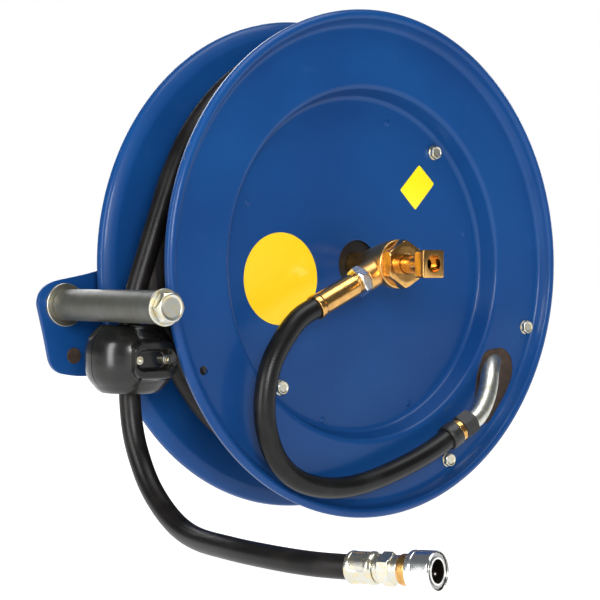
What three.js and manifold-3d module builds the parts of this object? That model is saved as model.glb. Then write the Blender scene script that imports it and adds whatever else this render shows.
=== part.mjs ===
// Spring-rewind hose reel with a quick disconnect coupler on the end of its hose.
// Millimetres, +Z up, -Y to the front. The wall that carries the reel is the plane y = 0,
// and the drum turns about the Y axis.
import * as THREE from 'three';
import { mergeVertices } from 'three/addons/utils/BufferGeometryUtils.js';
import Module from 'manifold-3d';

const wasm = await Module();
wasm.setup();

// Driving dimensions.
const DISC_R = 254;             // both discs, over their rolled rims
const FRONT_RIM_Y = -197;       // front plane of the front disc's rim
const REAR_RIM_Y = -69.5;       // rear plane of the rear disc's rim
const MIDDLE_Y = (FRONT_RIM_Y + REAR_RIM_Y) / 2;
const SHEET = 2.2;              // thickness of the pressed discs
const ANNULUS_Y = FRONT_RIM_Y + 13;   // outer ring of the front disc
const PANEL_Y = FRONT_RIM_Y + 34;     // dished panel of the front disc
const PANEL_R = 167;
const SHOULDER_R = 179.5;
const CENTRE_HOLE_R = 24.5;
const LARGE_SIDES = 40;         // facets of the discs, the drum and the hose pack
const HOSE_R = 10.25;           // half-inch hose, 20.5 mm outside
const LAYER = 2 * HOSE_R * Math.cos(Math.PI / 6);   // nested layers of hose
const PACK_IN_R = 180;
const PACK_OUT_R = 216.5;
const STRAND_R = PACK_OUT_R - HOSE_R + LAYER;       // last wrap, lying in the pack's groove
const JUMPER_R = 10.5;
const AXLE_R = 12.4;
const GAP = 0.3;                // between pieces that touch
const WALL_PLATE = 6;
const PLATE = 5;                // channel and guide arm
const ARM_FRONT_Y = -55;
const WEB_FRONT_Y = ARM_FRONT_Y + PLATE + GAP;
const ROLLER_X = -279.4;
const ROLLER_Z = -39.4;
const ROLLER_R = 15.2;
const BALL_R = 44;              // hose stop
const BALL_HALF_HEIGHT = 32;
const HOSE_X = -255.5;          // the hose hangs here, just inside the roller
const BALL_Z = -89;
const FITTING = new THREE.Vector3(-257.5, -460, -243.6);   // end of the hose
const FITTING_YAW = THREE.MathUtils.degToRad(16);          // from -Y towards +X
const FITTING_RISE = THREE.MathUtils.degToRad(3.2);
const OUTLET_DROP = THREE.MathUtils.degToRad(24.5);        // below -X
const OUTLET_Y = -210;

const reel = new THREE.Group();
const up = new THREE.Vector3(0, 1, 0);

// Six times the volume inside a triangle list, negative when its faces point in.
function signedVolume(points, triangles) {
  const corner = (i) => new THREE.Vector3().fromArray(points, 3 * triangles[i]);
  let sum = 0;
  for (let i = 0; i < triangles.length; i += 3) {
    sum += corner(i).dot(corner(i + 1).cross(corner(i + 2)));
  }
  return sum;
}

// A closed geometry as a solid, with its faces pointing out.
function solid(geometry) {
  const shell = geometry.index ? geometry.toNonIndexed() : geometry.clone();
  shell.deleteAttribute('normal');
  shell.deleteAttribute('uv');
  const merged = mergeVertices(shell, 1e-3);
  const vertProperties = new Float32Array(merged.attributes.position.array);
  const kept = [];
  for (let i = 0; i < merged.index.count; i += 3) {
    const [a, b, c] = [0, 1, 2].map((k) => merged.index.getX(i + k));
    if (a !== b && b !== c && c !== a) kept.push(a, b, c);
  }
  const inside = signedVolume(vertProperties, kept) < 0;
  const triVerts = new Uint32Array(inside ? kept.reverse() : kept);
  return new wasm.Manifold(new wasm.Mesh({ numProp: 3, vertProperties, triVerts }));
}

// A profile of [radius, y] corners turned about the Y axis.
function turned(profile, sides = 18) {
  const points = [...profile, profile[0]].map(([r, y]) => new THREE.Vector2(r, y));
  return solid(new THREE.LatheGeometry(points, sides));
}

// A round bar or, with six sides, a hexagon along Y.
function bar(radius, y0, y1, sides = 14) {
  return turned([[0, y0], [radius, y0], [radius, y1], [0, y1]], sides);
}

// A cutter whose flats, not its corners, lie at the radius, so that a bar of that radius clears it.
function drill(radius, y0, y1, sides = 14) {
  return bar(radius / Math.cos(Math.PI / sides), y0, y1, sides);
}

function hexagon(acrossFlats, y0, y1) {
  return bar(acrossFlats / Math.sqrt(3), y0, y1, 6);
}

// A ring of rectangular section about the Y axis.
function ring(inner, outer, y0, y1, sides = 18) {
  const flats = inner / Math.cos(Math.PI / sides);
  return turned([[flats, y0], [outer, y0], [outer, y1], [flats, y1]], sides);
}

// An outline of [x, z] corners cut from plate between two values of y.
function plate(outline, y0, y1) {
  const shape = new THREE.Shape(outline.map(([x, z]) => new THREE.Vector2(x, z)));
  const geometry = new THREE.ExtrudeGeometry(shape, { depth: y1 - y0, bevelEnabled: false });
  return solid(geometry.rotateX(Math.PI / 2).translate(0, y1, 0));
}

function block(x0, x1, y0, y1, z0, z1) {
  const geometry = new THREE.BoxGeometry(x1 - x0, y1 - y0, z1 - z0);
  return solid(geometry.translate((x0 + x1) / 2, (y0 + y1) / 2, (z0 + z1) / 2));
}

// A round section carried along a curve.
function tube(curve, radius, steps, sides = 10) {
  const corner = (i) => new THREE.Vector2(radius, 0).rotateAround(
    new THREE.Vector2(), 2 * Math.PI * i / sides);
  const shape = new THREE.Shape(Array.from({ length: sides }, (_, i) => corner(i)));
  return solid(new THREE.ExtrudeGeometry(shape, { steps, extrudePath: curve, bevelEnabled: false }));
}

// A wire spring about the Y axis.
function coilSpring(meanR, wireR, turns, y0, y1) {
  class Helix extends THREE.Curve {
    getPoint(t, target = new THREE.Vector3()) {
      const angle = 2 * Math.PI * turns * t;
      const y = y0 + wireR + (y1 - y0 - 2 * wireR) * t;
      return target.set(meanR * Math.cos(angle), y, meanR * Math.sin(angle));
    }
  }
  return tube(new Helix(), wireR, 10 * turns, 4);
}

// The rotation that takes the Y axis, about which pieces are turned, to a direction.
function turnTo(direction) {
  return new THREE.Quaternion().setFromUnitVectors(up, direction);
}

function along(direction, start) {
  return new THREE.Matrix4().compose(start, turnTo(direction), new THREE.Vector3(1, 1, 1));
}

function moved(shape, matrix) {
  return shape.transform(matrix.elements);
}

function shifted(shape, x, y, z) {
  return moved(shape, new THREE.Matrix4().makeTranslation(x, y, z));
}

function around(count, startAngle, radius) {
  return Array.from({ length: count }, (_, i) => {
    const angle = startAngle + 2 * Math.PI * i / count;
    return [radius * Math.cos(angle), radius * Math.sin(angle)];
  });
}

const FINISHES = {
  blue: [0x14467f, 0.42, 0.1],
  zinc: [0xc4c2b4, 0.35, 0.9],
  steel: [0x8e8e8a, 0.4, 0.9],
  darkSteel: [0x2c2a28, 0.55, 0.6],
  brass: [0xc98f3e, 0.32, 0.9],
  black: [0x161514, 0.6, 0],
  hose: [0x201e1b, 0.75, 0],
  roller: [0x55564f, 0.5, 0.2],
  chrome: [0xe6e6e4, 0.15, 1],
};

// Adds a named piece of one finish to a group.
function piece(name, shape, finish, parent = reel) {
  const { vertProperties, triVerts } = shape.getMesh();
  const geometry = new THREE.BufferGeometry();
  geometry.setAttribute('position', new THREE.BufferAttribute(new Float32Array(vertProperties), 3));
  geometry.setIndex(Array.from(triVerts));
  geometry.computeVertexNormals();
  const [color, roughness, metalness] = FINISHES[finish];
  const material = new THREE.MeshStandardMaterial({ color, roughness, metalness });
  const mesh = new THREE.Mesh(geometry, material);
  mesh.name = name;
  parent.add(mesh);
  return mesh;
}

// A hex bolt along Y whose head is on the -Y side of y = seat.
function hexBolt(x, z, seat, shankR, length, acrossFlats, headHeight) {
  const head = hexagon(acrossFlats, seat - headHeight, seat);
  const washer = bar(acrossFlats * 0.6, seat - 1.4, seat, 12);
  return shifted(head.add(washer).add(bar(shankR, seat - 1, seat + length, 8)), x, 0, z);
}

// ---- Wall plate, channel and guide arm: welded and folded steel, painted -----------------

function wallPlate() {
  const [halfX, halfZ, holeX, holeZ, holeR] = [110, 150, 90, 130, 5.5];
  let shape = block(-halfX, halfX, -WALL_PLATE, 0, -halfZ, halfZ);
  for (const [x, z] of [[-holeX, -holeZ], [holeX, -holeZ], [-holeX, holeZ], [holeX, holeZ]]) {
    shape = shape.subtract(shifted(drill(holeR, -WALL_PLATE - 1, 1, 16), x, 0, z));
  }
  for (const x of [-FOOT_BOLT_X, FOOT_BOLT_X]) {
    shape = shape.subtract(shifted(drill(4.4, -WALL_PLATE - 1, -1, 12), x, 0, 0));
  }
  return shape;
}

const CHANNEL_X = 70;
const FOOT_X = 100;
const FOOT_BOLT_X = 86;

// A hat section standing on the wall plate, its web carrying the axle.
function axleChannel() {
  const halfHeight = 110;
  const [web, foot] = [WEB_FRONT_Y, -WALL_PLATE - GAP];
  const outline = [
    [-CHANNEL_X, web], [CHANNEL_X, web], [CHANNEL_X, foot - PLATE], [FOOT_X, foot - PLATE],
    [FOOT_X, foot], [CHANNEL_X - PLATE, foot], [CHANNEL_X - PLATE, web + PLATE],
    [-CHANNEL_X + PLATE, web + PLATE], [-CHANNEL_X + PLATE, foot], [-FOOT_X, foot],
    [-FOOT_X, foot - PLATE], [-CHANNEL_X, foot - PLATE],
  ];
  const shape = new THREE.Shape(outline.map(([x, y]) => new THREE.Vector2(x, y)));
  const geometry = new THREE.ExtrudeGeometry(shape, { depth: 2 * halfHeight, bevelEnabled: false });
  let channel = solid(geometry.translate(0, 0, -halfHeight));
  channel = channel.subtract(drill(AXLE_R + 0.5, web - 1, web + PLATE + 1));
  for (const x of [-FOOT_BOLT_X, FOOT_BOLT_X]) {
    channel = channel.subtract(shifted(drill(4.4, foot - PLATE - 1, foot + 1, 12), x, 0, 0));
  }
  return channel;
}

const PAWL_PIVOT = [-77.5, -38];

// A flat arm from the channel out to the roller, with a spare hole below the roller.
function guideArm() {
  const outline = [
    [55, 60], [-60, 55], [-244, -8], [-289, -16], [-299, -20], [-306, -28], [-308.5, -38],
    [-301, -68], [-295.5, -94], [-291.5, -101], [-284, -106], [-264, -109.5], [-240, -109],
    [-60, -70], [55, -60],
  ];
  const [y0, y1] = [ARM_FRONT_Y, ARM_FRONT_Y + PLATE];
  return plate(outline, y0, y1)
    .subtract(drill(AXLE_R + 0.5, y0 - 1, y1 + 1))
    .subtract(shifted(drill(6.2, y0 - 1, y1 + 1, 16), ROLLER_X, 0, ROLLER_Z))
    .subtract(shifted(drill(6.5, y0 - 1, y1 + 1, 16), -269, 0, -89))
    .subtract(shifted(drill(4.4, y0 - 1, y1 + 1, 12), PAWL_PIVOT[0], 0, PAWL_PIVOT[1]));
}

piece('wall_plate', wallPlate(), 'blue');
piece('axle_channel', axleChannel(), 'blue');
piece('guide_arm', guideArm(), 'blue');
[-FOOT_BOLT_X, FOOT_BOLT_X].forEach((x, i) => {
  const seat = -WALL_PLATE - 2 * GAP - PLATE;
  piece(`channel_bolt_${i + 1}`, hexBolt(x, 0, seat, 4, 9, 13, 6), 'zinc');
});

// ---- Fixed axle and the parts clamped on it -------------------------------------------------

const AXLE_FRONT_Y = -149.5;

function axle() {
  const collarR = 20;
  return turned([
    [0, AXLE_FRONT_Y], [AXLE_R - 1, AXLE_FRONT_Y], [AXLE_R, AXLE_FRONT_Y + 1],
    [AXLE_R, ARM_FRONT_Y - 6], [collarR, ARM_FRONT_Y - 6], [collarR, ARM_FRONT_Y - GAP],
    [AXLE_R, ARM_FRONT_Y - GAP], [AXLE_R, -26], [0, -26],
  ]);
}

const WEB_BACK_Y = WEB_FRONT_Y + PLATE;
piece('axle', axle(), 'steel');
piece('axle_nut', hexagon(38, WEB_BACK_Y + GAP, WEB_BACK_Y + 14)
  .subtract(drill(AXLE_R + GAP, -50, -20)), 'zinc');
piece('spring_arbor', ring(AXLE_R + GAP, 19.5, -98.5, -74.5), 'darkSteel');
piece('pawl_pin', shifted(bar(4, -69.6, -49, 14), PAWL_PIVOT[0], 0, PAWL_PIVOT[1]), 'zinc');

// ---- Pressed discs -----------------------------------------------------------------------------

// The section of the front disc: panel, dish wall, shoulder, flat ring and rolled rim.
function discProfile() {
  const [rim, flat, panel] = [FRONT_RIM_Y, ANNULUS_Y, PANEL_Y];
  return [
    [CENTRE_HOLE_R, panel], [PANEL_R, panel], [PANEL_R + 3.5, panel - 2],
    [SHOULDER_R - 3.5, flat + 2], [SHOULDER_R, flat], [DISC_R - 15.5, flat],
    [DISC_R - 11.5, rim + 6], [DISC_R - 8, rim + 1], [DISC_R - 4, rim], [DISC_R, rim + 4],
    [DISC_R - 1.5, rim + 10], [DISC_R - 10, flat + 0.6], [DISC_R - 14, flat + SHEET],
    [SHOULDER_R + 1.5, flat + SHEET], [SHOULDER_R - 1.2, flat + 4],
    [PANEL_R + 5.5, panel + 0.2], [PANEL_R + 2, panel + SHEET], [CENTRE_HOLE_R, panel + SHEET],
  ];
}

const deg = THREE.MathUtils.degToRad;
const RING_BOLT_R = 229;
const RING_BOLTS = [-17.1, -62.7];
const RING_HOLES = [-17.1, -62.7, -154.1];
const PANEL_BOLT_R = 157;
const PANEL_BOLTS = [48.4, -129.5];

// A leaning oval slot in the front disc that the riser tube goes through.
function riserSlot() {
  const outline = [
    [201, -118], [199, -98], [186, -88], [159, -91], [147, -116], [143, -156], [151, -169],
    [164, -169], [189, -140],
  ];
  return plate(outline, ANNULUS_Y - 8, ANNULUS_Y + 8);
}

function polar(radius, degrees) {
  return [radius * Math.cos(deg(degrees)), radius * Math.sin(deg(degrees))];
}

function frontDisc() {
  let disc = turned(discProfile(), LARGE_SIDES).subtract(riserSlot());
  for (const angle of RING_HOLES) {
    const [x, z] = polar(RING_BOLT_R, angle);
    disc = disc.subtract(shifted(drill(4.6, ANNULUS_Y - 3, ANNULUS_Y + 5, 12), x, 0, z));
  }
  for (const angle of PANEL_BOLTS) {
    const [x, z] = polar(PANEL_BOLT_R, angle);
    disc = disc.subtract(shifted(drill(4.6, PANEL_Y - 2, PANEL_Y + 4, 12), x, 0, z));
  }
  return disc;
}

function rearDisc() {
  const mirrored = discProfile().map(([r, y]) => [r, 2 * MIDDLE_Y - y]);
  return turned(mirrored, LARGE_SIDES);
}

// The shell between the two panels that the inner layer of hose is wound on.
function drumCore() {
  const half = MIDDLE_Y - PANEL_Y - SHEET - GAP;
  const section = [[164, half], [168, half], [177.5, half - 10]];
  const inner = [[173.5, half - 11]];
  const mirror = (points) => points.map(([r, d]) => [r, MIDDLE_Y - d]).reverse();
  return turned([
    ...section.map(([r, d]) => [r, MIDDLE_Y + d]), ...mirror(section),
    ...inner.map(([r, d]) => [r, MIDDLE_Y - d]), ...inner.map(([r, d]) => [r, MIDDLE_Y + d]),
  ], LARGE_SIDES);
}

piece('front_disc', frontDisc(), 'blue');
piece('rear_disc', rearDisc(), 'blue');
piece('drum_core', drumCore(), 'steel');
RING_BOLTS.forEach((angle, i) => {
  const [x, z] = polar(RING_BOLT_R, angle);
  piece(`ring_bolt_${i + 1}`, hexBolt(x, z, ANNULUS_Y - GAP, 4, 6, 13, 6), 'zinc');
});
PANEL_BOLTS.forEach((angle, i) => {
  const [x, z] = polar(PANEL_BOLT_R, angle);
  piece(`panel_bolt_${i + 1}`, hexBolt(x, z, PANEL_Y - GAP, 4, 8, 13, 6), 'zinc');
});

// ---- Hub, bearings and spring motor -----------------------------------------------------------

const HUB_FRONT_Y = PANEL_Y + SHEET + GAP;
const HUB_REAR_Y = 2 * MIDDLE_Y - HUB_FRONT_Y;
const BEARING_OUT_R = 26;
const SHANK_R = 11.7;

// The hub is one turning: a bearing bore with a web near its front end for the swivel's shank.
function hub() {
  const bore = BEARING_OUT_R + GAP;
  return turned([
    [SHANK_R + GAP, -158.5], [31, -158.5], [31, HUB_FRONT_Y], [38, HUB_FRONT_Y], [38, -155],
    [31, -155], [31, HUB_REAR_Y], [bore, HUB_REAR_Y], [bore, -151.5], [SHANK_R + GAP, -151.5],
  ]);
}

piece('hub', hub(), 'darkSteel');
piece('front_bearing', ring(AXLE_R + GAP, BEARING_OUT_R, -147, -132), 'steel');
piece('rear_bearing', ring(AXLE_R + GAP, BEARING_OUT_R, -121.5, -106.5), 'steel');

const CASE_FRONT_Y = 2 * MIDDLE_Y - PANEL_Y + GAP;
const CASE_R = 118;
const COVER_Y = REAR_RIM_Y - 2.4;
piece('spring_case', turned([
  [28, CASE_FRONT_Y], [CASE_R, CASE_FRONT_Y], [CASE_R, COVER_Y - GAP], [CASE_R - 2, COVER_Y - GAP],
  [CASE_R - 2, CASE_FRONT_Y + 2], [28, CASE_FRONT_Y + 2],
], 32), 'blue');
piece('spring_cover', ring(22, CASE_R, COVER_Y, COVER_Y + 2, 32), 'blue');

// A flat spiral spring, its strip standing on edge between the case and its cover.
function mainspring() {
  const [innerR, outerR, turns, strip, stepsPerTurn] = [24, 112, 6, 1.6, 14];
  const edge = (side) => Array.from({ length: turns * stepsPerTurn + 1 }, (_, i) => {
    const t = i / (turns * stepsPerTurn);
    const radius = innerR + (outerR - innerR) * t + side * strip / 2;
    const angle = 2 * Math.PI * turns * t;
    return [radius * Math.cos(angle), radius * Math.sin(angle)];
  });
  return plate([...edge(1), ...edge(-1).reverse()], -98, -75);
}

piece('mainspring', mainspring(), 'steel');

// ---- Ratchet and pawl ------------------------------------------------------------------------------

const RATCHET_R = 58;
const RATCHET_Y = REAR_RIM_Y - 0.1;

// A plate on the spring cover with four notches for the pawl.
function ratchetPlate() {
  let shape = ring(30, RATCHET_R, RATCHET_Y, RATCHET_Y + 4.2, 32);
  for (const [x, z] of around(4, 0, RATCHET_R)) {
    const notch = Math.abs(x) > 1 ? block(x - 10, x + 10, -75, -60, -12.5, 12.5)
      : block(-12.5, 12.5, -75, -60, z - 10, z + 10);
    shape = shape.subtract(notch);
  }
  return shape;
}

// A lever on its pin that drops into a notch and holds the drum.
function pawl() {
  const [px, pz] = PAWL_PIVOT;
  const [tipX, tipZ] = [-62, 2];
  const [y0, y1] = [RATCHET_Y + 0.2, RATCHET_Y + 4];
  const arm = plate([[px + 7, pz - 2], [tipX + 2.8, tipZ - 1], [tipX - 2.8, tipZ + 1],
    [px - 7, pz + 2]], y0, y1);
  return arm.add(shifted(bar(8, y0, y1, 18), px, 0, pz))
    .subtract(shifted(drill(4 + GAP, y0 - 1, y1 + 1, 14), px, 0, pz));
}

piece('ratchet_plate', ratchetPlate(), 'zinc');
piece('pawl', pawl(), 'zinc');

// ---- Swivel --------------------------------------------------------------------------------------------

const outletDirection = new THREE.Vector3(-Math.cos(OUTLET_DROP), 0, -Math.sin(OUTLET_DROP));
const outletStart = new THREE.Vector3(0, OUTLET_Y, 0);
const BODY_FRONT_Y = -226;
const STEM_R = 9;
const CAP_FRONT_Y = -238;
const INLET_FRONT_Y = -277;
const INLET_HALF = 13.5;
const INLET_BORE_R = 8.5;
const OUTLET_LENGTH = 36;

// A bell-shaped brass casting on a shank, with a boss for the outlet on its side.
function swivelBody() {
  const bell = turned([
    [0, -152], [SHANK_R, -152], [SHANK_R, -176], [14, -180], [17, -190], [20.5, -203], [23.5, -215],
    [24.5, -222], [24, BODY_FRONT_Y], [0, BODY_FRONT_Y],
  ]);
  const boss = moved(bar(14, 0, OUTLET_LENGTH), along(outletDirection, outletStart));
  const port = moved(drill(6, 0, OUTLET_LENGTH + 1, 14), along(outletDirection, outletStart));
  const space = drill(STEM_R + 0.4, -227, -203);
  const collarSpace = drill(STEM_R + 3.5, BODY_FRONT_Y - 1, -219);
  return bell.add(boss).subtract(space).subtract(collarSpace).subtract(port);
}

// The inlet turns in the body: a stem with a seal groove and a collar under the cap, and outside
// the cap a square end with the port for the supply hose.
function swivelInlet() {
  const blockY = INLET_FRONT_Y + 13;
  const stem = turned([
    [5.5, -214], [STEM_R, -214], [STEM_R, -215], [7.4, -215], [7.4, -218], [STEM_R, -218],
    [STEM_R, -219.4], [12, -219.4], [12, BODY_FRONT_Y + GAP], [STEM_R, BODY_FRONT_Y + GAP],
    [STEM_R, blockY - 1], [5.5, blockY - 1],
  ]);
  const h = INLET_HALF;
  return stem.add(block(-h, h, INLET_FRONT_Y, blockY, -h, h))
    .subtract(drill(5.5, INLET_FRONT_Y - 1, blockY + 1))
    .subtract(drill(INLET_BORE_R, INLET_FRONT_Y - 1, INLET_FRONT_Y + 9.5));
}

piece('swivel_body', swivelBody(), 'brass');
piece('swivel_inlet', swivelInlet(), 'brass');
piece('swivel_seal', ring(7.7, 9.2, -217.7, -215.3), 'black');
piece('swivel_cap', hexagon(42, CAP_FRONT_Y, BODY_FRONT_Y - GAP)
  .subtract(drill(STEM_R + 0.4, -245, -225)), 'brass');

const outlet = new THREE.Group();
outlet.position.copy(outletStart);
outlet.quaternion.copy(turnTo(outletDirection));
reel.add(outlet);

const UPPER_END = 103;
const bored = (shape, radius, y0, y1) => shape.subtract(drill(radius, y0 - 1, y1 + 1, 10));
piece('outlet_nut', bored(hexagon(27, OUTLET_LENGTH + GAP, 46.5), 6.2, 36, 47), 'chrome', outlet);
piece('upper_ferrule', bored(turned([
  [0, 46.8], [10.5, 46.8], [11.5, 50], [11.5, 96], [12.4, 98], [12.4, UPPER_END], [0, UPPER_END],
]), 6, 46, UPPER_END), 'brass', outlet);

// ---- Jumper hose, its lower fitting and the riser tube ----------------------------------------

const LOWER_END = new THREE.Vector3(84, -205.3, -179.5);
const lowerDirection = new THREE.Vector3(Math.cos(deg(26)), 0, Math.sin(deg(26)));

function jumperHose() {
  const start = outletStart.clone().addScaledVector(outletDirection, UPPER_END + GAP);
  const next = outletStart.clone().addScaledVector(outletDirection, UPPER_END + 16);
  const before = LOWER_END.clone().addScaledVector(lowerDirection, -18);
  const points = [
    start, next, new THREE.Vector3(-131, -210, -71), new THREE.Vector3(-145, -210, -92),
    new THREE.Vector3(-152.5, -210, -116), new THREE.Vector3(-154, -209.5, -141),
    new THREE.Vector3(-149, -209.5, -166), new THREE.Vector3(-137, -209, -188),
    new THREE.Vector3(-117, -208.5, -205), new THREE.Vector3(-90, -208, -215),
    new THREE.Vector3(-58, -207.5, -218.5), new THREE.Vector3(-25, -207, -215.5),
    new THREE.Vector3(8, -206.5, -208), new THREE.Vector3(39, -206, -198.5), before, LOWER_END,
  ];
  return tube(new THREE.CatmullRomCurve3(points), JUMPER_R, 26);
}

function riserTube() {
  const start = LOWER_END.clone().addScaledVector(lowerDirection, 38 + GAP);
  const points = [
    start, LOWER_END.clone().addScaledVector(lowerDirection, 46),
    new THREE.Vector3(134.5, -204.5, -150.5), new THREE.Vector3(143.4, -202, -138.9),
    new THREE.Vector3(152.1, -197.5, -124.7), new THREE.Vector3(161, -190, -113),
    new THREE.Vector3(172, -181, -105), new THREE.Vector3(184, -171, -101),
  ];
  const whole = tube(new THREE.CatmullRomCurve3(points), 10, 10, 12);
  return whole.intersect(block(90, 200, -230, ANNULUS_Y + SHEET + 0.1, -200, -80));
}

piece('jumper_hose', jumperHose(), 'hose');
const lower = new THREE.Group();
lower.position.copy(LOWER_END);
lower.quaternion.copy(turnTo(lowerDirection));
reel.add(lower);
piece('lower_ferrule', bored(turned([
  [0, GAP], [12.6, GAP], [13.4, 3], [13.4, 14], [0, 14],
]), 6, 0, 14), 'black', lower);
piece('lower_ring', ring(6, 12.2, 14.3, 20), 'brass', lower);
piece('riser_nut', bored(hexagon(25, 20.3, 38), 6.2, 20, 38), 'black', lower);
piece('riser_tube', riserTube(), 'zinc');

// ---- Guide roller on its bolt ------------------------------------------------------------------------

const ROLLER_FRONT_Y = -226;
const ROLLER_REAR_Y = -59;
const ROLLER_BOLT_R = 5;

function rollerPart(shape) {
  return shifted(shape, ROLLER_X, 0, ROLLER_Z);
}

piece('guide_roller', rollerPart(turned([
  [ROLLER_BOLT_R + 0.5, ROLLER_FRONT_Y], [ROLLER_R - 1, ROLLER_FRONT_Y],
  [ROLLER_R, ROLLER_FRONT_Y + 1], [ROLLER_R, ROLLER_REAR_Y - 1], [ROLLER_R - 1, ROLLER_REAR_Y],
  [ROLLER_BOLT_R + 0.5, ROLLER_REAR_Y],
])), 'roller');
piece('roller_washer', rollerPart(ring(ROLLER_BOLT_R + GAP, 17, -229.2, -226.4)), 'zinc');
piece('roller_flange', rollerPart(ring(ROLLER_BOLT_R + GAP, 21, -58.7, ARM_FRONT_Y - GAP)), 'zinc');
piece('roller_bolt', rollerPart(hexagon(26, -239.5, -229.5).rotate([0, 30, 0])
  .add(bar(ROLLER_BOLT_R, -230, -36, 16))),
  'zinc');
piece('roller_nut', rollerPart(hexagon(16, ARM_FRONT_Y + PLATE + GAP, -41)
  .subtract(drill(ROLLER_BOLT_R + GAP, -55, -35, 16))), 'zinc');

// ---- Hose: the wound pack and the free end ----------------------------------------------------------

// The wound hose as one ring, with a groove where its last wrap lies.
function hosePack() {
  const half = MIDDLE_Y - ANNULUS_Y - SHEET - 0.6;
  const bottom = STRAND_R - HOSE_R - 0.9;
  const section = [
    [PACK_IN_R, half - 4], [PACK_IN_R + 4, half], [PACK_OUT_R - 3, half], [PACK_OUT_R, half - 3],
    [PACK_OUT_R, HOSE_R + 2], [bottom, HOSE_R + 1],
  ];
  return turned([
    ...section.map(([r, d]) => [r, MIDDLE_Y - d]),
    ...section.map(([r, d]) => [r, MIDDLE_Y + d]).reverse(),
  ], LARGE_SIDES);
}

// The hose from its last wrap over the pack, past the roller, down and out to its fitting.
function freeHose() {
  const wrap = [60, 72, 84, 96, 108, 120, 132, 144, 153].map((angle) => {
    const [x, z] = polar(STRAND_R, angle);
    return new THREE.Vector3(x, MIDDLE_Y, z);
  });
  const hanging = [
    [-211.5, MIDDLE_Y, 74], [-227, MIDDLE_Y, 33], [-240.5, MIDDLE_Y, -4], [-250, MIDDLE_Y, -32],
    [-255, MIDDLE_Y, -57], [HOSE_X, MIDDLE_Y, -73], [HOSE_X, MIDDLE_Y, -89],
    [HOSE_X, MIDDLE_Y, -106], [HOSE_X, -133.4, -122], [HOSE_X, -135.4, -141],
    [-255.4, -139.5, -159], [-255.3, -145.5, -174], [-255.3, -153.5, -188], [-255.6, -164, -202],
    [-256.2, -178, -215], [-257.3, -196, -227], [-259.2, -217, -236.5], [-262, -241, -242.4],
    [-266, -269, -244.7], [-270, -300, -244.7], [-272.8, -332, -244.7], [-273.3, -362, -244.7],
    [-271.3, -400, -244.7], [-265.6, -432, -244.5],
  ];
  const points = [...wrap, ...hanging.map((p) => new THREE.Vector3(...p)), hoseEnd];
  return tube(new THREE.CatmullRomCurve3(points), HOSE_R, 48, 8);
}

const fittingDirection = new THREE.Vector3(
  Math.sin(FITTING_YAW) * Math.cos(FITTING_RISE),
  -Math.cos(FITTING_YAW) * Math.cos(FITTING_RISE), Math.sin(FITTING_RISE));
const hoseEnd = FITTING.clone().addScaledVector(fittingDirection, -GAP);

piece('hose_pack', hosePack(), 'hose');
piece('free_hose', freeHose(), 'hose');

// ---- Hose stop: two rubber halves bolted around the hose --------------------------------------------

const STOP_BOLT_X = 14.8;
const POCKET_DEPTH = 9;

function stopHalf(side) {
  const [r, h] = [BALL_R, BALL_HALF_HEIGHT];
  const profile = [[0, -h], [r - 17, -h], [r - 9, -h + 4], [r - 2, -h + 15], [r, -6], [r, 6],
    [r - 2, h - 15], [r - 9, h - 4], [r - 17, h], [0, h]];
  const standing = new THREE.Matrix4().makeRotationX(Math.PI / 2);
  standing.setPosition(HOSE_X, MIDDLE_Y, BALL_Z);
  const bore = moved(drill(HOSE_R + 0.8, -h - 2, h + 2), standing);
  const faceY = MIDDLE_Y + side * 0.2;
  const farY = MIDDLE_Y + side * (r + 5);
  const half = block(HOSE_X - 50, HOSE_X + 50, Math.min(faceY, farY), Math.max(faceY, farY),
    BALL_Z - 50, BALL_Z + 50);
  const pocketY = MIDDLE_Y + side * (r - POCKET_DEPTH);
  const pocket = block(HOSE_X - 20, HOSE_X + 20, Math.min(pocketY, farY), Math.max(pocketY, farY),
    BALL_Z - 9.5, BALL_Z + 9.5);
  let barrel = moved(turned(profile, 24), standing);
  if (side < 0) {
    barrel = barrel.add(block(HOSE_X - 24, HOSE_X + 24, MIDDLE_Y - 46, MIDDLE_Y - 30,
      BALL_Z - 18, BALL_Z + 18));
  }
  let shape = barrel.intersect(half).subtract(bore).subtract(pocket);
  for (const x of [-STOP_BOLT_X, STOP_BOLT_X]) {
    shape = shape.subtract(shifted(drill(2.9, MIDDLE_Y - 40, MIDDLE_Y + 40, 10), HOSE_X + x, 0, BALL_Z));
  }
  return shape;
}

piece('stop_front_half', stopHalf(-1), 'black');
piece('stop_rear_half', stopHalf(1), 'black');
[-STOP_BOLT_X, STOP_BOLT_X].forEach((x, i) => {
  const floorY = MIDDLE_Y - BALL_R + POCKET_DEPTH - GAP;
  const bolt = bar(4.2, floorY - 5, floorY, 14).add(bar(2.5, floorY - 1, MIDDLE_Y + 38, 10));
  piece(`stop_bolt_${i + 1}`, shifted(bolt, HOSE_X + x, 0, BALL_Z), 'zinc');
});

// ---- Hose end and quick disconnect coupler ----------------------------------------------------------
// Distances run along the fitting's axis from the end of the hose.

const fitting = new THREE.Group();
fitting.position.copy(FITTING);
fitting.quaternion.copy(turnTo(fittingDirection));
reel.add(fitting);

const PLUG_BORE_R = 9.2;
const COUPLER_R = 11.2;
const BAND_R = 12.6;
const SLEEVE_R = 16;
const SLEEVE_BACK = 58.2;
const MOUTH = 81.5;
const BALL_AT = 72;
const LOCK_BALL_R = 2.5;
const LOCK_BALL_CENTRE = 10;
const SLEEVE_TRAVEL = 5;
const LOCK_BALL_TRAVEL = 1.8;
const SPRING_FACE = 66.3;

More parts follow.
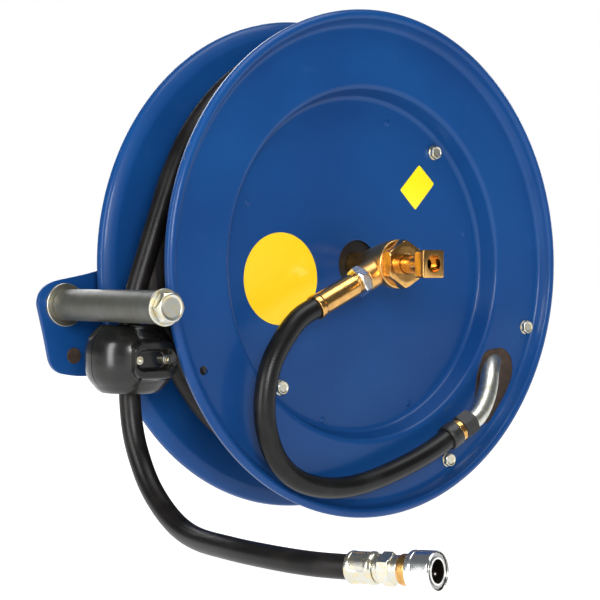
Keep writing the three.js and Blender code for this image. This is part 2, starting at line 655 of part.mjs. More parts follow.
function couplerBody() {
  let shape = turned([
    [8.2, 49.3], [BAND_R, 49.3], [BAND_R, 57.5], [COUPLER_R, 57.5], [COUPLER_R, 77.7], [10.2, 77.7],
    [10.2, 79.9], [COUPLER_R, 79.9], [COUPLER_R, 80.9], [PLUG_BORE_R, 80.9], [PLUG_BORE_R, 63],
    [6, 63], [6, 60.2], [8.2, 60.2],
  ], 24);
  for (const [x, z] of around(4, deg(45), 1)) {
    const hole = moved(drill(LOCK_BALL_R + 0.3, 5, 14, 12),
      along(new THREE.Vector3(x, 0, z), new THREE.Vector3(0, BALL_AT, 0)));
    shape = shape.subtract(hole);
  }
  return shape;
}

// The sleeve: a skirt over the spring, a guide land, and a ramp that lets the balls move out.
function couplerSleeve() {
  const land = 13.1;
  return turned([
    [BAND_R + 0.4, SLEEVE_BACK], [SLEEVE_R - 1, SLEEVE_BACK], [SLEEVE_R, SLEEVE_BACK + 1],
    [SLEEVE_R, MOUTH - 1.5], [SLEEVE_R - 1, MOUTH], [land + LOCK_BALL_TRAVEL, MOUTH],
    [land + LOCK_BALL_TRAVEL, BALL_AT + SLEEVE_TRAVEL], [land, BALL_AT], [land, 69],
    [COUPLER_R + 0.3, 69], [COUPLER_R + 0.3, SPRING_FACE], [BAND_R + 0.4, SPRING_FACE],
  ], 24);
}

piece('hose_ferrule', bored(turned([
  [0, 0], [12.5, 0], [13.5, 1.5], [13.5, 23], [12.3, 26], [0, 26],
]), 6, 0, 26), 'zinc', fitting);
piece('hose_stem', bored(hexagon(24, 31, 42).add(bar(11.4, 26.3, 49)).add(bar(7.8, 48, 50.6)),
  4.5, 26, 51), 'zinc', fitting);
piece('coupler_body', couplerBody(), 'brass', fitting);
piece('coupler_sleeve', couplerSleeve(), 'chrome', fitting);
piece('sleeve_ring', ring(10.5, 14.2, 78, 79.6), 'steel', fitting);
piece('sleeve_spring', coilSpring(12.15, 0.4, 4, 57.7, SPRING_FACE - 0.2), 'steel', fitting);
piece('coupler_seal', ring(7, 8.9, 63.3, 65.6), 'black', fitting);
piece('poppet_valve', turned([
  [0, 57.6], [7.6, 57.6], [7.6, 58.8], [5.5, 59.9], [4.6, 60.2], [4.6, 67], [0, 67],
]), 'brass', fitting);
piece('poppet_spring', coilSpring(6.4, 0.45, 4, 50.9, 57.4), 'steel', fitting);
around(4, deg(45), LOCK_BALL_CENTRE).forEach(([x, z], i) => {
  const ball = solid(new THREE.SphereGeometry(LOCK_BALL_R, 8, 6));
  piece(`locking_ball_${i + 1}`, shifted(ball, x, BALL_AT, z), 'steel', fitting);
});

export default reel;
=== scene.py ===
import math
import bmesh
import bpy
import numpy as np
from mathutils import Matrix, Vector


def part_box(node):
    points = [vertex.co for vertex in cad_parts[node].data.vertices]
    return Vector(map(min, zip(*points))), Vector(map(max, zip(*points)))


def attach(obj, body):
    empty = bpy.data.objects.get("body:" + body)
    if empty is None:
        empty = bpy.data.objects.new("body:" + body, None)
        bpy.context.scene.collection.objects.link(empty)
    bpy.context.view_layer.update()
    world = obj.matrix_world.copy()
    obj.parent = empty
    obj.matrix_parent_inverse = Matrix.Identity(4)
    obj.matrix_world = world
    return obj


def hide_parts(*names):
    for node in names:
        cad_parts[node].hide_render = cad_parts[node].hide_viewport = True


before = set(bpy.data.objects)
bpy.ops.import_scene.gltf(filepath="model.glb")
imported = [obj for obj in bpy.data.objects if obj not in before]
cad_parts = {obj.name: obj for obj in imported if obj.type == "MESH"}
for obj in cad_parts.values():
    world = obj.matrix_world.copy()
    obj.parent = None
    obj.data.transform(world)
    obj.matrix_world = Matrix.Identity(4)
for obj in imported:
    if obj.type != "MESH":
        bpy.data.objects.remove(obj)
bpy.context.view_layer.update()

scene = bpy.context.scene

# ---- Camera ----
# A long lens at the height of the axle, to the left of the drum and turned in towards it.
lens = bpy.data.cameras.new("studio_camera")
lens.lens = 108
lens.sensor_width = 36
lens.clip_end = 60
camera = bpy.data.objects.new("studio_camera", lens)
camera.location = (-1.1804, -1.559, -0.0079)
camera.rotation_euler = (math.radians(89.111), 0, math.radians(-38.385))
scene.collection.objects.link(camera)
scene.camera = camera
scene.view_settings.view_transform = "Standard"


# ---- Studio floor ----
# A plain floor under the hose that glows white, so that it runs into the white background.
class Term:
    """A number or colour socket of a material; arithmetic on it adds Math nodes."""

    def __init__(self, finish, socket):
        self.finish, self.socket = finish, socket

    def math(self, operation, first, second):
        return self.finish.node("Math", {"operation": operation}, {0: first, 1: second})

    def __add__(self, other): return self.math("ADD", self, other)
    def __radd__(self, other): return self.math("ADD", other, self)
    def __sub__(self, other): return self.math("SUBTRACT", self, other)
    def __rsub__(self, other): return self.math("SUBTRACT", other, self)
    def __mul__(self, other): return self.math("MULTIPLY", self, other)
    def __rmul__(self, other): return self.math("MULTIPLY", other, self)
    def __truediv__(self, other): return self.math("DIVIDE", self, other)
    def __pow__(self, other): return self.math("POWER", self, other)
    def __gt__(self, other): return self.math("GREATER_THAN", self, other)
    def __lt__(self, other): return self.math("LESS_THAN", self, other)

    def between(self, low, high):
        """0 below low, 1 above high, and a smooth step from one to the other."""
        return self.finish.node("MapRange", {"interpolation_type": "SMOOTHSTEP"},
                                {"Value": self, "From Min": low, "From Max": high})


class Finish:
    """One material. Named values go straight onto the shader's own sockets."""

    def __init__(self, name, **fixed):
        self.material = bpy.data.materials.new(name)
        self.material.use_nodes = True
        self.tree = self.material.node_tree
        self.shader = self.tree.nodes["Principled BSDF"]
        for socket, value in fixed.items():
            self.shader.inputs[socket.replace("_", " ")].default_value = value

    def node(self, kind, settings, inputs, output=0):
        """Adds a node: its settings first, then the values or links of its sockets."""
        made = self.tree.nodes.new("ShaderNode" + kind)
        for name, value in settings.items():
            if name == "stops":
                for element, (place, shade) in zip(made.color_ramp.elements, value):
                    element.position, element.color = place, shade
            else:
                setattr(made, name, value)
        for key, value in inputs.items():
            if isinstance(value, Term):
                self.tree.links.new(value.socket, made.inputs[key])
            else:
                made.inputs[key].default_value = value
        return Term(self, made.outputs[output])

    def set(self, socket, value):
        self.tree.links.new(value.socket, self.shader.inputs[socket])

    def place(self, scale=(1, 1, 1), shift=(0, 0, 0)):
        """Object coordinates, moved by shift and then stretched by scale."""
        here = self.node("TexCoord", {}, {}, "Object")
        moved = self.node("VectorMath", {"operation": "SUBTRACT"}, {0: here, 1: shift})
        return self.node("VectorMath", {"operation": "MULTIPLY"}, {0: moved, 1: scale})

    def parts(self, vector):
        return [self.node("SeparateXYZ", {}, {0: vector}, axis) for axis in range(3)]

    def noise(self, vector, scale, detail=3.0, rough=0.55):
        return self.node("TexNoise", {}, {"Vector": vector, "Scale": scale, "Detail": detail,
                                          "Roughness": rough})

    def mix(self, factor, first, second):
        return self.node("Mix", {"data_type": "RGBA"}, {0: factor, 6: first, 7: second}, 2)

    def bump(self, height, strength, distance):
        normal = self.node("Bump", {}, {"Strength": strength, "Distance": distance, "Height": height})
        self.set("Normal", normal)


def colour(red, green, blue):
    return (red, green, blue, 1.0)


FLOOR_Z = -0.2571
floor_mesh = bpy.data.meshes.new("studio_floor")
floor_mesh.from_pydata([(-6, -6, FLOOR_Z), (9, -6, FLOOR_Z), (9, 9, FLOOR_Z), (-6, 9, FLOOR_Z)],
                       [], [(0, 1, 2, 3)])
floor = bpy.data.objects.new("studio_floor", floor_mesh)
scene.collection.objects.link(floor)
pale = Finish("studio_white", Roughness=0.9, Specular_IOR_Level=0.0)
pale.shader.inputs["Base Color"].default_value = colour(0.35, 0.35, 0.35)
pale.shader.inputs["Emission Color"].default_value = colour(1, 1, 1)
pale.shader.inputs["Emission Strength"].default_value = 0.97
floor_mesh.materials.append(pale.material)

# ---- Studio light ----
# An even dim room with a white backdrop, and soft panels to the left, above, beside the camera and
# to the right and behind.
room = bpy.data.worlds.new("studio")
room.use_nodes = True
scene.world = room
room_nodes, room_links = room.node_tree.nodes, room.node_tree.links
room_nodes["Background"].inputs["Color"].default_value = colour(0.72, 0.78, 0.86)
room_nodes["Background"].inputs["Strength"].default_value = 0.17
backdrop = room_nodes.new("ShaderNodeBackground")
backdrop.inputs["Color"].default_value = colour(1, 1, 1)
seen = room_nodes.new("ShaderNodeLightPath")
either = room_nodes.new("ShaderNodeMixShader")
room_links.new(seen.outputs["Is Camera Ray"], either.inputs[0])
room_links.new(room_nodes["Background"].outputs[0], either.inputs[1])
room_links.new(backdrop.outputs[0], either.inputs[2])
room_links.new(either.outputs[0], room_nodes["World Output"].inputs["Surface"])


def soft_panel(name, place, aim, width, height, power):
    """A rectangular light at place that faces aim."""
    made = bpy.data.lights.new(name, "AREA")
    made.shape, made.size, made.size_y, made.energy = "RECTANGLE", width, height, power
    panel = bpy.data.objects.new(name, made)
    panel.location = place
    direction = np.array(place) - np.array(aim)
    turn = math.atan2(direction[1], direction[0]) + math.pi / 2
    tilt = math.atan2(math.hypot(direction[0], direction[1]), direction[2])
    panel.rotation_euler = (tilt, 0, turn)
    scene.collection.objects.link(panel)


soft_panel("panel_camera", (-1.25, -2.2, 0.55), (0, -0.15, 0), 0.7, 0.7, 36)
soft_panel("panel_left", (-2.1, -0.35, 0.35), (-0.1, -0.1, 0), 0.5, 1.5, 26)
soft_panel("panel_top", (0.1, -0.9, 2.2), (0, -0.1, 0), 2.0, 1.4, 38)
soft_panel("panel_right", (2.3, 0.3, 0.5), (0, -0.1, 0), 0.8, 1.2, 16)
soft_panel("panel_back", (0.5, 2.0, 0.9), (0, 0, 0), 1.6, 1.2, 30)


# ---- Free hose ----
# Half-inch air hose with a smooth black rubber cover. It lies as the last wrap over the wound pack,
# comes off past the guide roller, hangs through the hose stop and runs forward along the floor.
def spline(points, step):
    """A cubic spline through the points, with chord length as its parameter and straight ends,
    read off at even steps."""
    p = np.array(points, float)
    t = np.concatenate([[0], np.cumsum(np.linalg.norm(np.diff(p, axis=0), axis=1))])
    h, n = np.diff(t), len(p)
    system, known = np.eye(n), np.zeros((n, 3))
    inner = np.arange(1, n - 1)
    system[inner, inner - 1], system[inner, inner] = h[:-1], 2 * (h[:-1] + h[1:])
    system[inner, inner + 1] = h[1:]
    slopes = np.diff(p, axis=0) / h[:, None]
    known[1:-1] = 6 * np.diff(slopes, axis=0)
    bend = np.linalg.solve(system, known)
    s = np.linspace(0, t[-1], int(round(t[-1] / step)) + 1)
    k = np.clip(np.searchsorted(t, s) - 1, 0, n - 2)
    u, v, w = (s - t[k])[:, None], (t[k + 1] - s)[:, None], h[k][:, None]
    return ((bend[k] * v ** 3 + bend[k + 1] * u ** 3) / (6 * w)
            + (p[k] / w - bend[k] * w / 6) * v + (p[k + 1] / w - bend[k + 1] * w / 6) * u)


def settle(mesh, sharp=35.0):
    """Merges doubles, drops what collapsed, points the faces outwards and smooths all but the
    edges sharper than that angle."""
    shell = bmesh.new()
    shell.from_mesh(mesh)
    bmesh.ops.remove_doubles(shell, verts=shell.verts, dist=2e-6)
    bmesh.ops.delete(shell, geom=[e for e in shell.edges if not e.link_faces], context="EDGES")
    bmesh.ops.recalc_face_normals(shell, faces=shell.faces)
    shell.to_mesh(mesh)
    shell.free()
    mesh.polygons.foreach_set("use_smooth", np.ones(len(mesh.polygons), dtype=bool))
    mesh.set_sharp_from_angle(angle=math.radians(sharp))
    return mesh


def surface(grid, looped=False, capped=True, along=None, sharp=35.0):
    """A skin over a grid of points whose rows are closed rings. Looped joins the last ring to the
    first, capped closes the end rings. The UV map is round the ring and, in metres, along."""
    rows, columns = grid.shape[:2]
    ring = np.arange(rows * columns).reshape(rows, columns)
    index = np.hstack([ring, ring[:, :1]])
    along = np.arange(rows) * 0.001 if along is None else along
    u = np.tile(np.linspace(0, 1, columns + 1), (rows, 1))
    v = np.tile(np.reshape(along, (rows, 1)), (1, columns + 1))
    if looped:
        index, u, v = (np.vstack([a, a[:1]]) for a in (index, u, v))

    def corners(a):
        return np.stack([a[:-1, :-1], a[:-1, 1:], a[1:, 1:], a[1:, :-1]], -1).reshape(-1, 4)

    faces = corners(index).tolist()
    texture = np.stack([corners(u), corners(v)], -1).reshape(-1, 2)
    if capped and not looped:
        faces += [ring[0].tolist(), ring[-1].tolist()]
        texture = np.vstack([texture, np.zeros((2 * columns, 2))])
    mesh = bpy.data.meshes.new("surface")
    mesh.from_pydata(grid.reshape(-1, 3), [], faces)
    mesh.uv_layers.new(name="UVMap").data.foreach_set("uv", texture.ravel())
    return settle(mesh, sharp)


def unit(vector):
    vector = np.asarray(vector, float)
    return vector / np.linalg.norm(vector, axis=-1, keepdims=True)


def tube(path, radius, fixed, sides=28, capped=True):
    """A round section carried along a path; the fixed direction keeps the section from turning."""
    tangent = unit(np.gradient(path, axis=0))
    side = unit(np.cross(tangent, fixed))
    other = np.cross(side, tangent)
    angle = 2 * np.pi * np.arange(sides)[None, :, None] / sides
    grid = path[:, None] + np.reshape(radius, (-1, 1, 1)) * (
        np.cos(angle) * side[:, None] + np.sin(angle) * other[:, None])
    length = np.concatenate([[0], np.cumsum(np.linalg.norm(np.diff(path, axis=0), axis=1))])
    return surface(grid, capped=capped, along=length)


def add(name, mesh, body, slot, finish, *nodes):
    """Puts a piece in the scene: it rides on a body and stands for CAD nodes. Its slot is not used.
    """
    made = bpy.data.objects.new(name, mesh)
    mesh.name = name
    mesh.materials.clear()
    mesh.materials.append(finish.material)
    scene.collection.objects.link(made)
    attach(made, body)
    if nodes:
        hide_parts(*nodes)
    return made


def hose_cover(name, tone, gloss):
    """Black rubber with the fine cross-wound cloth marks of its curing wrap and a little dust."""
    made = Finish(name, Specular_IOR_Level=0.25)
    where = made.place()
    across, length, _ = made.parts(made.node("UVMap", {}, {}))
    wrap = made.node("Math", {"operation": "SINE"}, {0: (length * 330 + across) * 2 * math.pi})
    weave = made.node("Math", {"operation": "SINE"}, {0: (across * 46 - length * 40) * 2 * math.pi})
    dust = made.noise(where, 34, 5, 0.6)
    fine = made.noise(where, 900, 2, 0.5)
    made.set("Base Color", made.mix(dust.between(0.42, 0.72), colour(*[c * 0.8 for c in tone]),
                                    colour(*[c * 1.5 + 0.003 for c in tone])))
    made.set("Roughness", gloss + dust * 0.16 - fine * 0.06)
    made.bump(wrap * 0.35 + weave * 0.25 + fine * 0.6, 0.35, 0.00012)
    return made


HOSE_R = 0.01025
WRAP_R = 0.224
MIDDLE_Y = -0.13325
hose_black = hose_cover("hose_cover", (0.006, 0.005, 0.0045), 0.3)
wrap_angles = np.radians([60, 72, 84, 96, 108, 120, 132, 144, 153])
hose_route = [(WRAP_R * math.cos(a), MIDDLE_Y, WRAP_R * math.sin(a)) for a in wrap_angles] + [
    (-0.2115, MIDDLE_Y, 0.074), (-0.227, MIDDLE_Y, 0.033), (-0.2405, MIDDLE_Y, -0.004),
    (-0.25, MIDDLE_Y, -0.032), (-0.255, MIDDLE_Y, -0.057), (-0.2555, MIDDLE_Y, -0.073),
    (-0.2555, MIDDLE_Y, -0.089), (-0.2555, MIDDLE_Y, -0.106), (-0.2555, -0.1334, -0.122),
    (-0.2555, -0.1354, -0.141), (-0.2554, -0.1395, -0.159), (-0.2553, -0.1455, -0.174),
    (-0.2553, -0.1535, -0.188), (-0.2556, -0.164, -0.202), (-0.2562, -0.178, -0.215),
    (-0.2573, -0.196, -0.227), (-0.2592, -0.217, -0.2365), (-0.262, -0.241, -0.2424),
    (-0.266, -0.269, -0.2447), (-0.27, -0.3, -0.2447), (-0.2728, -0.332, -0.2447),
    (-0.2733, -0.362, -0.2447), (-0.2713, -0.4, -0.2447), (-0.2656, -0.432, -0.2445),
    (-0.2575826, -0.4597121, -0.2436167)]
hose_path = spline(hose_route, 0.004)
free_hose = add("free_hose_cover", tube(hose_path, HOSE_R, (0.577, 0.577, 0.577), 32), "frame",
                "hose_rubber", hose_black, "free_hose")

# ---- Jumper hose ----
# A short, stiff hose that takes the air from the swivel round to the riser tube. Its two ends are
# crimped, and it turns with the drum.
JUMPER_R = 0.0105
drop = math.radians(24.5)
outlet_axis = np.array([-math.cos(drop), 0, -math.sin(drop)])
outlet_start = np.array([0, -0.21, 0])
lower_end = np.array([0.084, -0.2053, -0.1795])
lower_axis = np.array([math.cos(math.radians(26)), 0, math.sin(math.radians(26))])
jumper_start = outlet_start + outlet_axis * 0.1033
jumper_route = [
    jumper_start, outlet_start + outlet_axis * 0.119, (-0.131, -0.21, -0.071),
    (-0.145, -0.21, -0.092), (-0.1525, -0.21, -0.116), (-0.154, -0.2095, -0.141),
    (-0.149, -0.2095, -0.166), (-0.137, -0.209, -0.188), (-0.117, -0.2085, -0.205),
    (-0.09, -0.208, -0.215), (-0.058, -0.2075, -0.2185), (-0.025, -0.207, -0.2155),
    (0.008, -0.2065, -0.208), (0.039, -0.206, -0.1985), lower_end - lower_axis * 0.018, lower_end]
jumper_black = hose_cover("jumper_cover", (0.006, 0.006, 0.0055), 0.28)
jumper_path = spline(jumper_route, 0.004)
jumper = add("jumper_hose_cover", tube(jumper_path, JUMPER_R, (0, 1, 0), 32), "drum", "hose_rubber",
             jumper_black, "jumper_hose")


# ---- Wound hose ----
# The rest of the hose, wound on the drum: three turns below and four above, with each turn stepping
# over to the next. The last one climbs over its neighbour into the groove and meets the free hose.
def smooth_step(x):
    """3x^2 - 2x^3 between 0 and 1, level outside."""
    x = np.clip(x, 0, 1)
    return x * x * (3 - 2 * x)


def winding(offsets, radius, start):
    """A hose wound at one radius: each turn keeps its place across the drum for five sixths of the
    way and then moves over to the next turn's place."""
    turns = len(offsets)
    angle = np.linspace(0, 2 * np.pi * (turns - 0.004), turns * 132)
    turn = angle / (2 * np.pi)
    whole = np.minimum(turn.astype(int), turns - 1)
    nearby = np.append(offsets, offsets[-1])
    move = smooth_step((turn - whole - 5 / 6) * 6)
    across = MIDDLE_Y + nearby[whole] * (1 - move) + nearby[whole + 1] * move
    return np.stack([radius * np.cos(angle + start), across, radius * np.sin(angle + start)], 1)


lower_turns = winding(np.array([-1, 0, 1]) * 0.0206, 0.1885, math.radians(-60))
upper_turns = winding(np.array([-1.5, -0.5, 0.5, 1.5]) * 0.0206, 0.20625, math.radians(-60))
climb = np.radians(np.linspace(-61.4, 59.6, 60))
part = np.linspace(0, 1, 60)
climb_r = 0.20625 + 0.0207 * smooth_step(part / 0.45) - 0.00295 * smooth_step((part - 0.6) / 0.4)
climb_y = MIDDLE_Y + 0.0309 * (1 - smooth_step((part - 0.08) / 0.82))
climbing = np.stack([climb_r * np.cos(climb), climb_y, climb_r * np.sin(climb)], 1)
upper_path = np.vstack([upper_turns, climbing[1:]])
pack_black = hose_cover("wound_hose_cover", (0.015, 0.0125, 0.0105), 0.42)
add("wound_hose_outer", tube(upper_path, HOSE_R, (0, 1, 0), 20), "drum", "hose_rubber", pack_black,
    "hose_pack")
add("wound_hose_inner", tube(lower_turns, HOSE_R, (0, 1, 0), 20), "drum", "hose_rubber", pack_black)


# ---- Pressed discs ----
# Two discs spun from sheet steel, each with a dished panel, a flat outer ring and a rolled rim, in
# gloss blue powder coat. The front one has a slot for the riser tube and holes for its bolts.
def rounded(corners, closed=True, bend=4, support=0.0014):
    """Turns each corner (a, b, rounding) into a quadratic arc between the points that far from it
    along its two edges, with one more point beyond each end so that flats stay flat."""
    given = np.array(corners, float)
    p, before, after = given[:, :2], np.roll(given[:, :2], 1, 0), np.roll(given[:, :2], -1, 0)
    back, onward = before - p, after - p
    length_back, length_on = np.linalg.norm(back, axis=1), np.linalg.norm(onward, axis=1)
    length_back, length_on = np.maximum(length_back, 1e-9), np.maximum(length_on, 1e-9)
    near = np.minimum(given[:, 2], 0.45 * np.minimum(length_back, length_on))
    if not closed:
        near[[0, -1]] = 0
    rest_back = np.minimum(support, 0.25 * (length_back - near - np.roll(near, 1)))
    rest_on = np.minimum(support, 0.25 * (length_on - near - np.roll(near, -1)))
    back, onward = back / length_back[:, None], onward / length_on[:, None]
    first, last = p + back * near[:, None], p + onward * near[:, None]
    t = np.linspace(0, 1, bend + 1)[None, :, None]
    arc = (1 - t) ** 2 * first[:, None] + 2 * t * (1 - t) * p[:, None] + t ** 2 * last[:, None]
    beyond = (first + back * rest_back[:, None])[:, None]
    ahead = (last + onward * rest_on[:, None])[:, None]
    every = np.concatenate([beyond, arc, ahead], 1)
    if closed:
        return every.reshape(-1, 2)
    return np.vstack([p[:1], every[1:-1].reshape(-1, 2), p[-1:]])


def mm(corners):
    """Corners given in millimetres, in metres."""
    return [tuple(value / 1000 for value in corner) for corner in corners]


def turned(corners, centre=(0, 0, 0), axis=(0, 1, 0), sides=96, shape=None, bend=4, sharp=35.0):
    """A profile of (radius, distance along the axis, rounding) corners turned about an axis. A
    profile that starts and ends on the axis is solid, any other is a ring. Shape may change the
    radius with the distance and the angle."""
    ring = corners[0][0] > 1e-6 or corners[-1][0] > 1e-6
    section = rounded(corners, ring, bend)
    radius, distance = section[:, :1], section[:, 1:]
    angle = 2 * np.pi * np.arange(sides)[None] / sides
    radius = radius + 0 * angle
    if shape:
        radius = shape(radius, distance, angle)
    axis = unit(axis)
    across = unit(np.cross((0, 0, 1) if abs(axis[2]) < 0.9 else (1, 0, 0), axis))
    other = np.cross(axis, across)
    grid = (np.array(centre) + distance[..., None] * axis
            + (radius * np.cos(angle))[..., None] * across
            + (radius * np.sin(angle))[..., None] * other)
    return surface(grid, looped=ring, capped=False, sharp=sharp)


def extruded(outline, low, high, edge=0.0007, axes="xzy", bend=5, sharp=30.0):
    """An outline of (a, b, rounding) corners carried from one depth to another. Its two rims are
    taken back by a quarter round of that edge. Axes says which directions a, b and depth are."""
    line = rounded([(a, b, max(r, 0.0003)) for a, b, r in outline], True, bend)
    step = np.roll(line, -1, 0) - np.roll(line, 1, 0)
    area = (line[:, 0] * np.roll(line[:, 1], -1) - line[:, 1] * np.roll(line[:, 0], -1)).sum()
    inward = unit(np.stack([-step[:, 1], step[:, 0]], 1)) * (1 if area > 0 else -1)
    turn = np.radians([0, 30, 60, 90])
    offset = np.concatenate([edge * (1 - np.sin(turn)), edge * (1 - np.sin(turn))[::-1]])
    depth = np.concatenate([low + edge * (1 - np.cos(turn)),
                            high - edge * (1 - np.cos(turn))[::-1]])
    flat = line[None] + inward[None] * offset[:, None, None]
    grid = np.zeros(flat.shape[:2] + (3,))
    grid[..., "xyz".index(axes[0])] = flat[..., 0]
    grid[..., "xyz".index(axes[1])] = flat[..., 1]
    grid[..., "xyz".index(axes[2])] = depth[:, None]
    return surface(grid, sharp=sharp)


def oblong_outline(x, z, wide, tall, rounding):
    """The four corners of a rounded oblong around x and z, given half its width and height."""
    return [(x + a * wide, z + b * tall, rounding) for a, b in ((1, 1), (-1, 1), (-1, -1), (1, -1))]


def carved(mesh, cutters, operation="DIFFERENCE", sharp=30.0):
    """The mesh with closed cutters taken from it, or joined to it, one after another."""
    for cutter in cutters:
        base, tool = bpy.data.objects.new("base", mesh), bpy.data.objects.new("tool", cutter)
        scene.collection.objects.link(base)
        scene.collection.objects.link(tool)
        step = base.modifiers.new("cut", "BOOLEAN")
        step.operation, step.object, step.solver = operation, tool, "EXACT"
        done = base.evaluated_get(bpy.context.evaluated_depsgraph_get())
        fresh = bpy.data.meshes.new_from_object(done)
        for used in (base, tool):
            bpy.data.objects.remove(used)
        mesh = fresh
    return settle(mesh, sharp)


def drill(radius, x, z, low, high, sides=40):
    """A plain cutter along Y."""
    return turned([(0, low, 0), (radius, low, 0), (radius, high, 0), (0, high, 0)], (x, 0, z),
                  sides=sides, bend=1)


def powder_coat(name, chipped=0.0):
    """Gloss powder coat: a fine orange peel, a little cloudiness and handling dust. Where it is
    chipped, small spots along the rolled rims are worn to the primer."""
    made = Finish(name, Specular_IOR_Level=0.18, Coat_Roughness=0.07, Coat_IOR=1.5)
    where = made.place()
    cloud, peel = made.noise(where, 7, 2, 0.5), made.noise(where, 420, 2, 0.5)
    dust, speck = made.noise(where, 55, 6, 0.65), made.noise(where, 900, 1, 0.5)
    paint = made.mix(cloud.between(0.3, 0.7), colour(0.0038, 0.042, 0.166),
                     colour(0.0046, 0.054, 0.198))
    paint = made.mix(dust.between(0.58, 0.82) * 0.06, paint, colour(0.16, 0.26, 0.4))
    rough = 0.3 + dust * 0.1 + speck * 0.03
    if chipped:
        x, _, z = made.parts(where)
        radius = (x * x + z * z) ** 0.5
        worn = (radius.between(0.2495, 0.2535) * made.noise(where, 130, 5, 0.7)).between(0.6, 0.66)
        paint = made.mix(worn * chipped, paint, colour(0.11, 0.12, 0.13))
        rough = rough + worn * 0.25
    made.set("Base Color", paint)
    made.set("Roughness", rough)
    made.set("Coat Weight", 0.14 - dust.between(0.5, 0.8) * 0.08)
    made.bump(peel, 0.12, 0.00006)
    return made


blue = powder_coat("blue_powder_coat")
blue_disc = powder_coat("blue_powder_coat_disc", 0.8)
PANEL_Y, RING_Y = -0.163, -0.184
disc_section = [
    (0.0245, -0.163, 0.0007), (0.167, -0.163, 0.003), (0.1705, -0.165, 0.0025),
    (0.176, -0.182, 0.0022), (0.1795, -0.184, 0.003), (0.2385, -0.184, 0.004),
    (0.2425, -0.19, 0.004), (0.245, -0.1962, 0.004), (0.25, -0.1972, 0.004),
    (0.2541, -0.194, 0.004), (0.253, -0.1866, 0.004), (0.246, -0.1834, 0.003),
    (0.24, -0.1818, 0.002), (0.181, -0.1818, 0.002), (0.1783, -0.18, 0.0018),
    (0.1725, -0.1628, 0.0018), (0.169, -0.1608, 0.002), (0.0245, -0.1608, 0.0007)]


def polar(radius, degrees):
    return radius * math.cos(math.radians(degrees)), radius * math.sin(math.radians(degrees))


front = turned(disc_section, sides=180, bend=5)
slot_outline = [(0.201, -0.118, 0.008), (0.199, -0.098, 0.008), (0.186, -0.088, 0.008),
                (0.159, -0.091, 0.008), (0.147, -0.116, 0.008), (0.143, -0.156, 0.006),
                (0.151, -0.169, 0.006), (0.164, -0.169, 0.006), (0.189, -0.14, 0.012)]
holes = [extruded(slot_outline, -0.192, -0.172, 0.0001, bend=10)]
holes += [drill(0.0046, *polar(0.229, a), -0.188, -0.176) for a in (-17.1, -62.7, -154.1)]
holes += [drill(0.0046, *polar(0.157, a), -0.167, -0.156) for a in (48.4, -129.5)]
add("front_disc_pressing", carved(front, holes), "drum", "blue_paint", blue_disc, "front_disc")
rear = turned([(r, 2 * MIDDLE_Y - y, c) for r, y, c in disc_section], sides=180, bend=5)
add("rear_disc_pressing", rear, "drum", "blue_paint", blue_disc, "rear_disc")

# The spot-weld dimples of the panel: low round domes where the core shell is welded behind it.
for i, (x, z) in enumerate([(0.0395, 0.1452), (-0.1387, 0.0593), (-0.0465, -0.1558),
                            (0.0687, -0.144), (0.148, 0.033)]):
    dome = turned(mm([
        (0, 0.6, 0), (3.6, 0.6, 0.6), (3.6, -0.3, 1), (2, -1.1, 1.2), (0, -1.1, 0)]),
        (x, PANEL_Y, z), sides=32)
    add(f"panel_dimple_{i + 1}", dome, "drum", "blue_paint", blue)


# ---- Plated bolts ----
# Hex flange bolts, zinc plated with a yellow passivate, that hold the discs to the core and the
# channel to the wall plate.
def plated(name, tint, gloss):
    """Zinc plate: soft mottling between silver and straw, with fine turned marks."""
    made = Finish(name, Metallic=1.0)
    where = made.place()
    mottle, fine = made.noise(where, 190, 4, 0.6), made.noise(where, 1500, 2, 0.5)
    made.set("Base Color", made.mix(mottle.between(0.35, 0.68), colour(0.62, 0.63, 0.6),
                                    colour(*tint)))
    made.set("Roughness", gloss + mottle * 0.14 + fine * 0.05)
    made.bump(fine, 0.15, 0.00005)
    return made


def hexagonal(across, low, high):
    """Keeps the radius inside a hexagon's flats between two distances along the axis."""
    def shape(radius, distance, angle):
        flat = across / 2 / np.cos((angle + np.pi / 6) % (np.pi / 3) - np.pi / 6)
        return np.where((distance > low) & (distance < high), np.minimum(radius, flat), radius)
    return shape


def hex_bolt(x, z, seat, shank, length, across, head):
    """A hex head with a chamfered, slightly hollow top on a washer face, and its shank behind."""
    corner = across / math.sqrt(3)
    top = seat - head
    return turned([
        (0, top + 0.0006, 0), (across * 0.34, top + 0.0006, 0.0004), (across * 0.4, top, 0.0004),
        (across * 0.47, top, 0.0004), (corner, top + 0.0014, 0.0003), (corner, seat - 0.0016,
        0.0003),
        (across * 0.5, seat - 0.0014, 0.0001), (across * 0.6, seat - 0.0012, 0.0003),
        (across * 0.6, seat, 0.0002), (shank, seat, 0.0002), (shank, seat + length, 0.0004),
        (0, seat + length, 0)], (x, 0, z), shape=hexagonal(across, top + 1e-5, seat - 0.00125))


zinc = plated("zinc_yellow", (0.66, 0.58, 0.36), 0.24)
for i, a in enumerate((-17.1, -62.7)):
    add(f"ring_bolt_{i + 1}_hex", hex_bolt(*polar(0.229, a), RING_Y - 0.0003, 0.004, 0.006, 0.013,
                                           0.006), "drum", "zinc", zinc, f"ring_bolt_{i + 1}")
for i, a in enumerate((48.4, -129.5)):
    add(f"panel_bolt_{i + 1}_hex", hex_bolt(*polar(0.157, a), PANEL_Y - 0.0003, 0.004, 0.008, 0.013,
                                            0.006), "drum", "zinc", zinc, f"panel_bolt_{i + 1}")
for i, x in enumerate((-0.086, 0.086)):
    add(f"channel_bolt_{i + 1}_hex", hex_bolt(x, 0, -0.0116, 0.004, 0.009, 0.013, 0.006), "frame",
        "zinc", zinc, f"channel_bolt_{i + 1}")


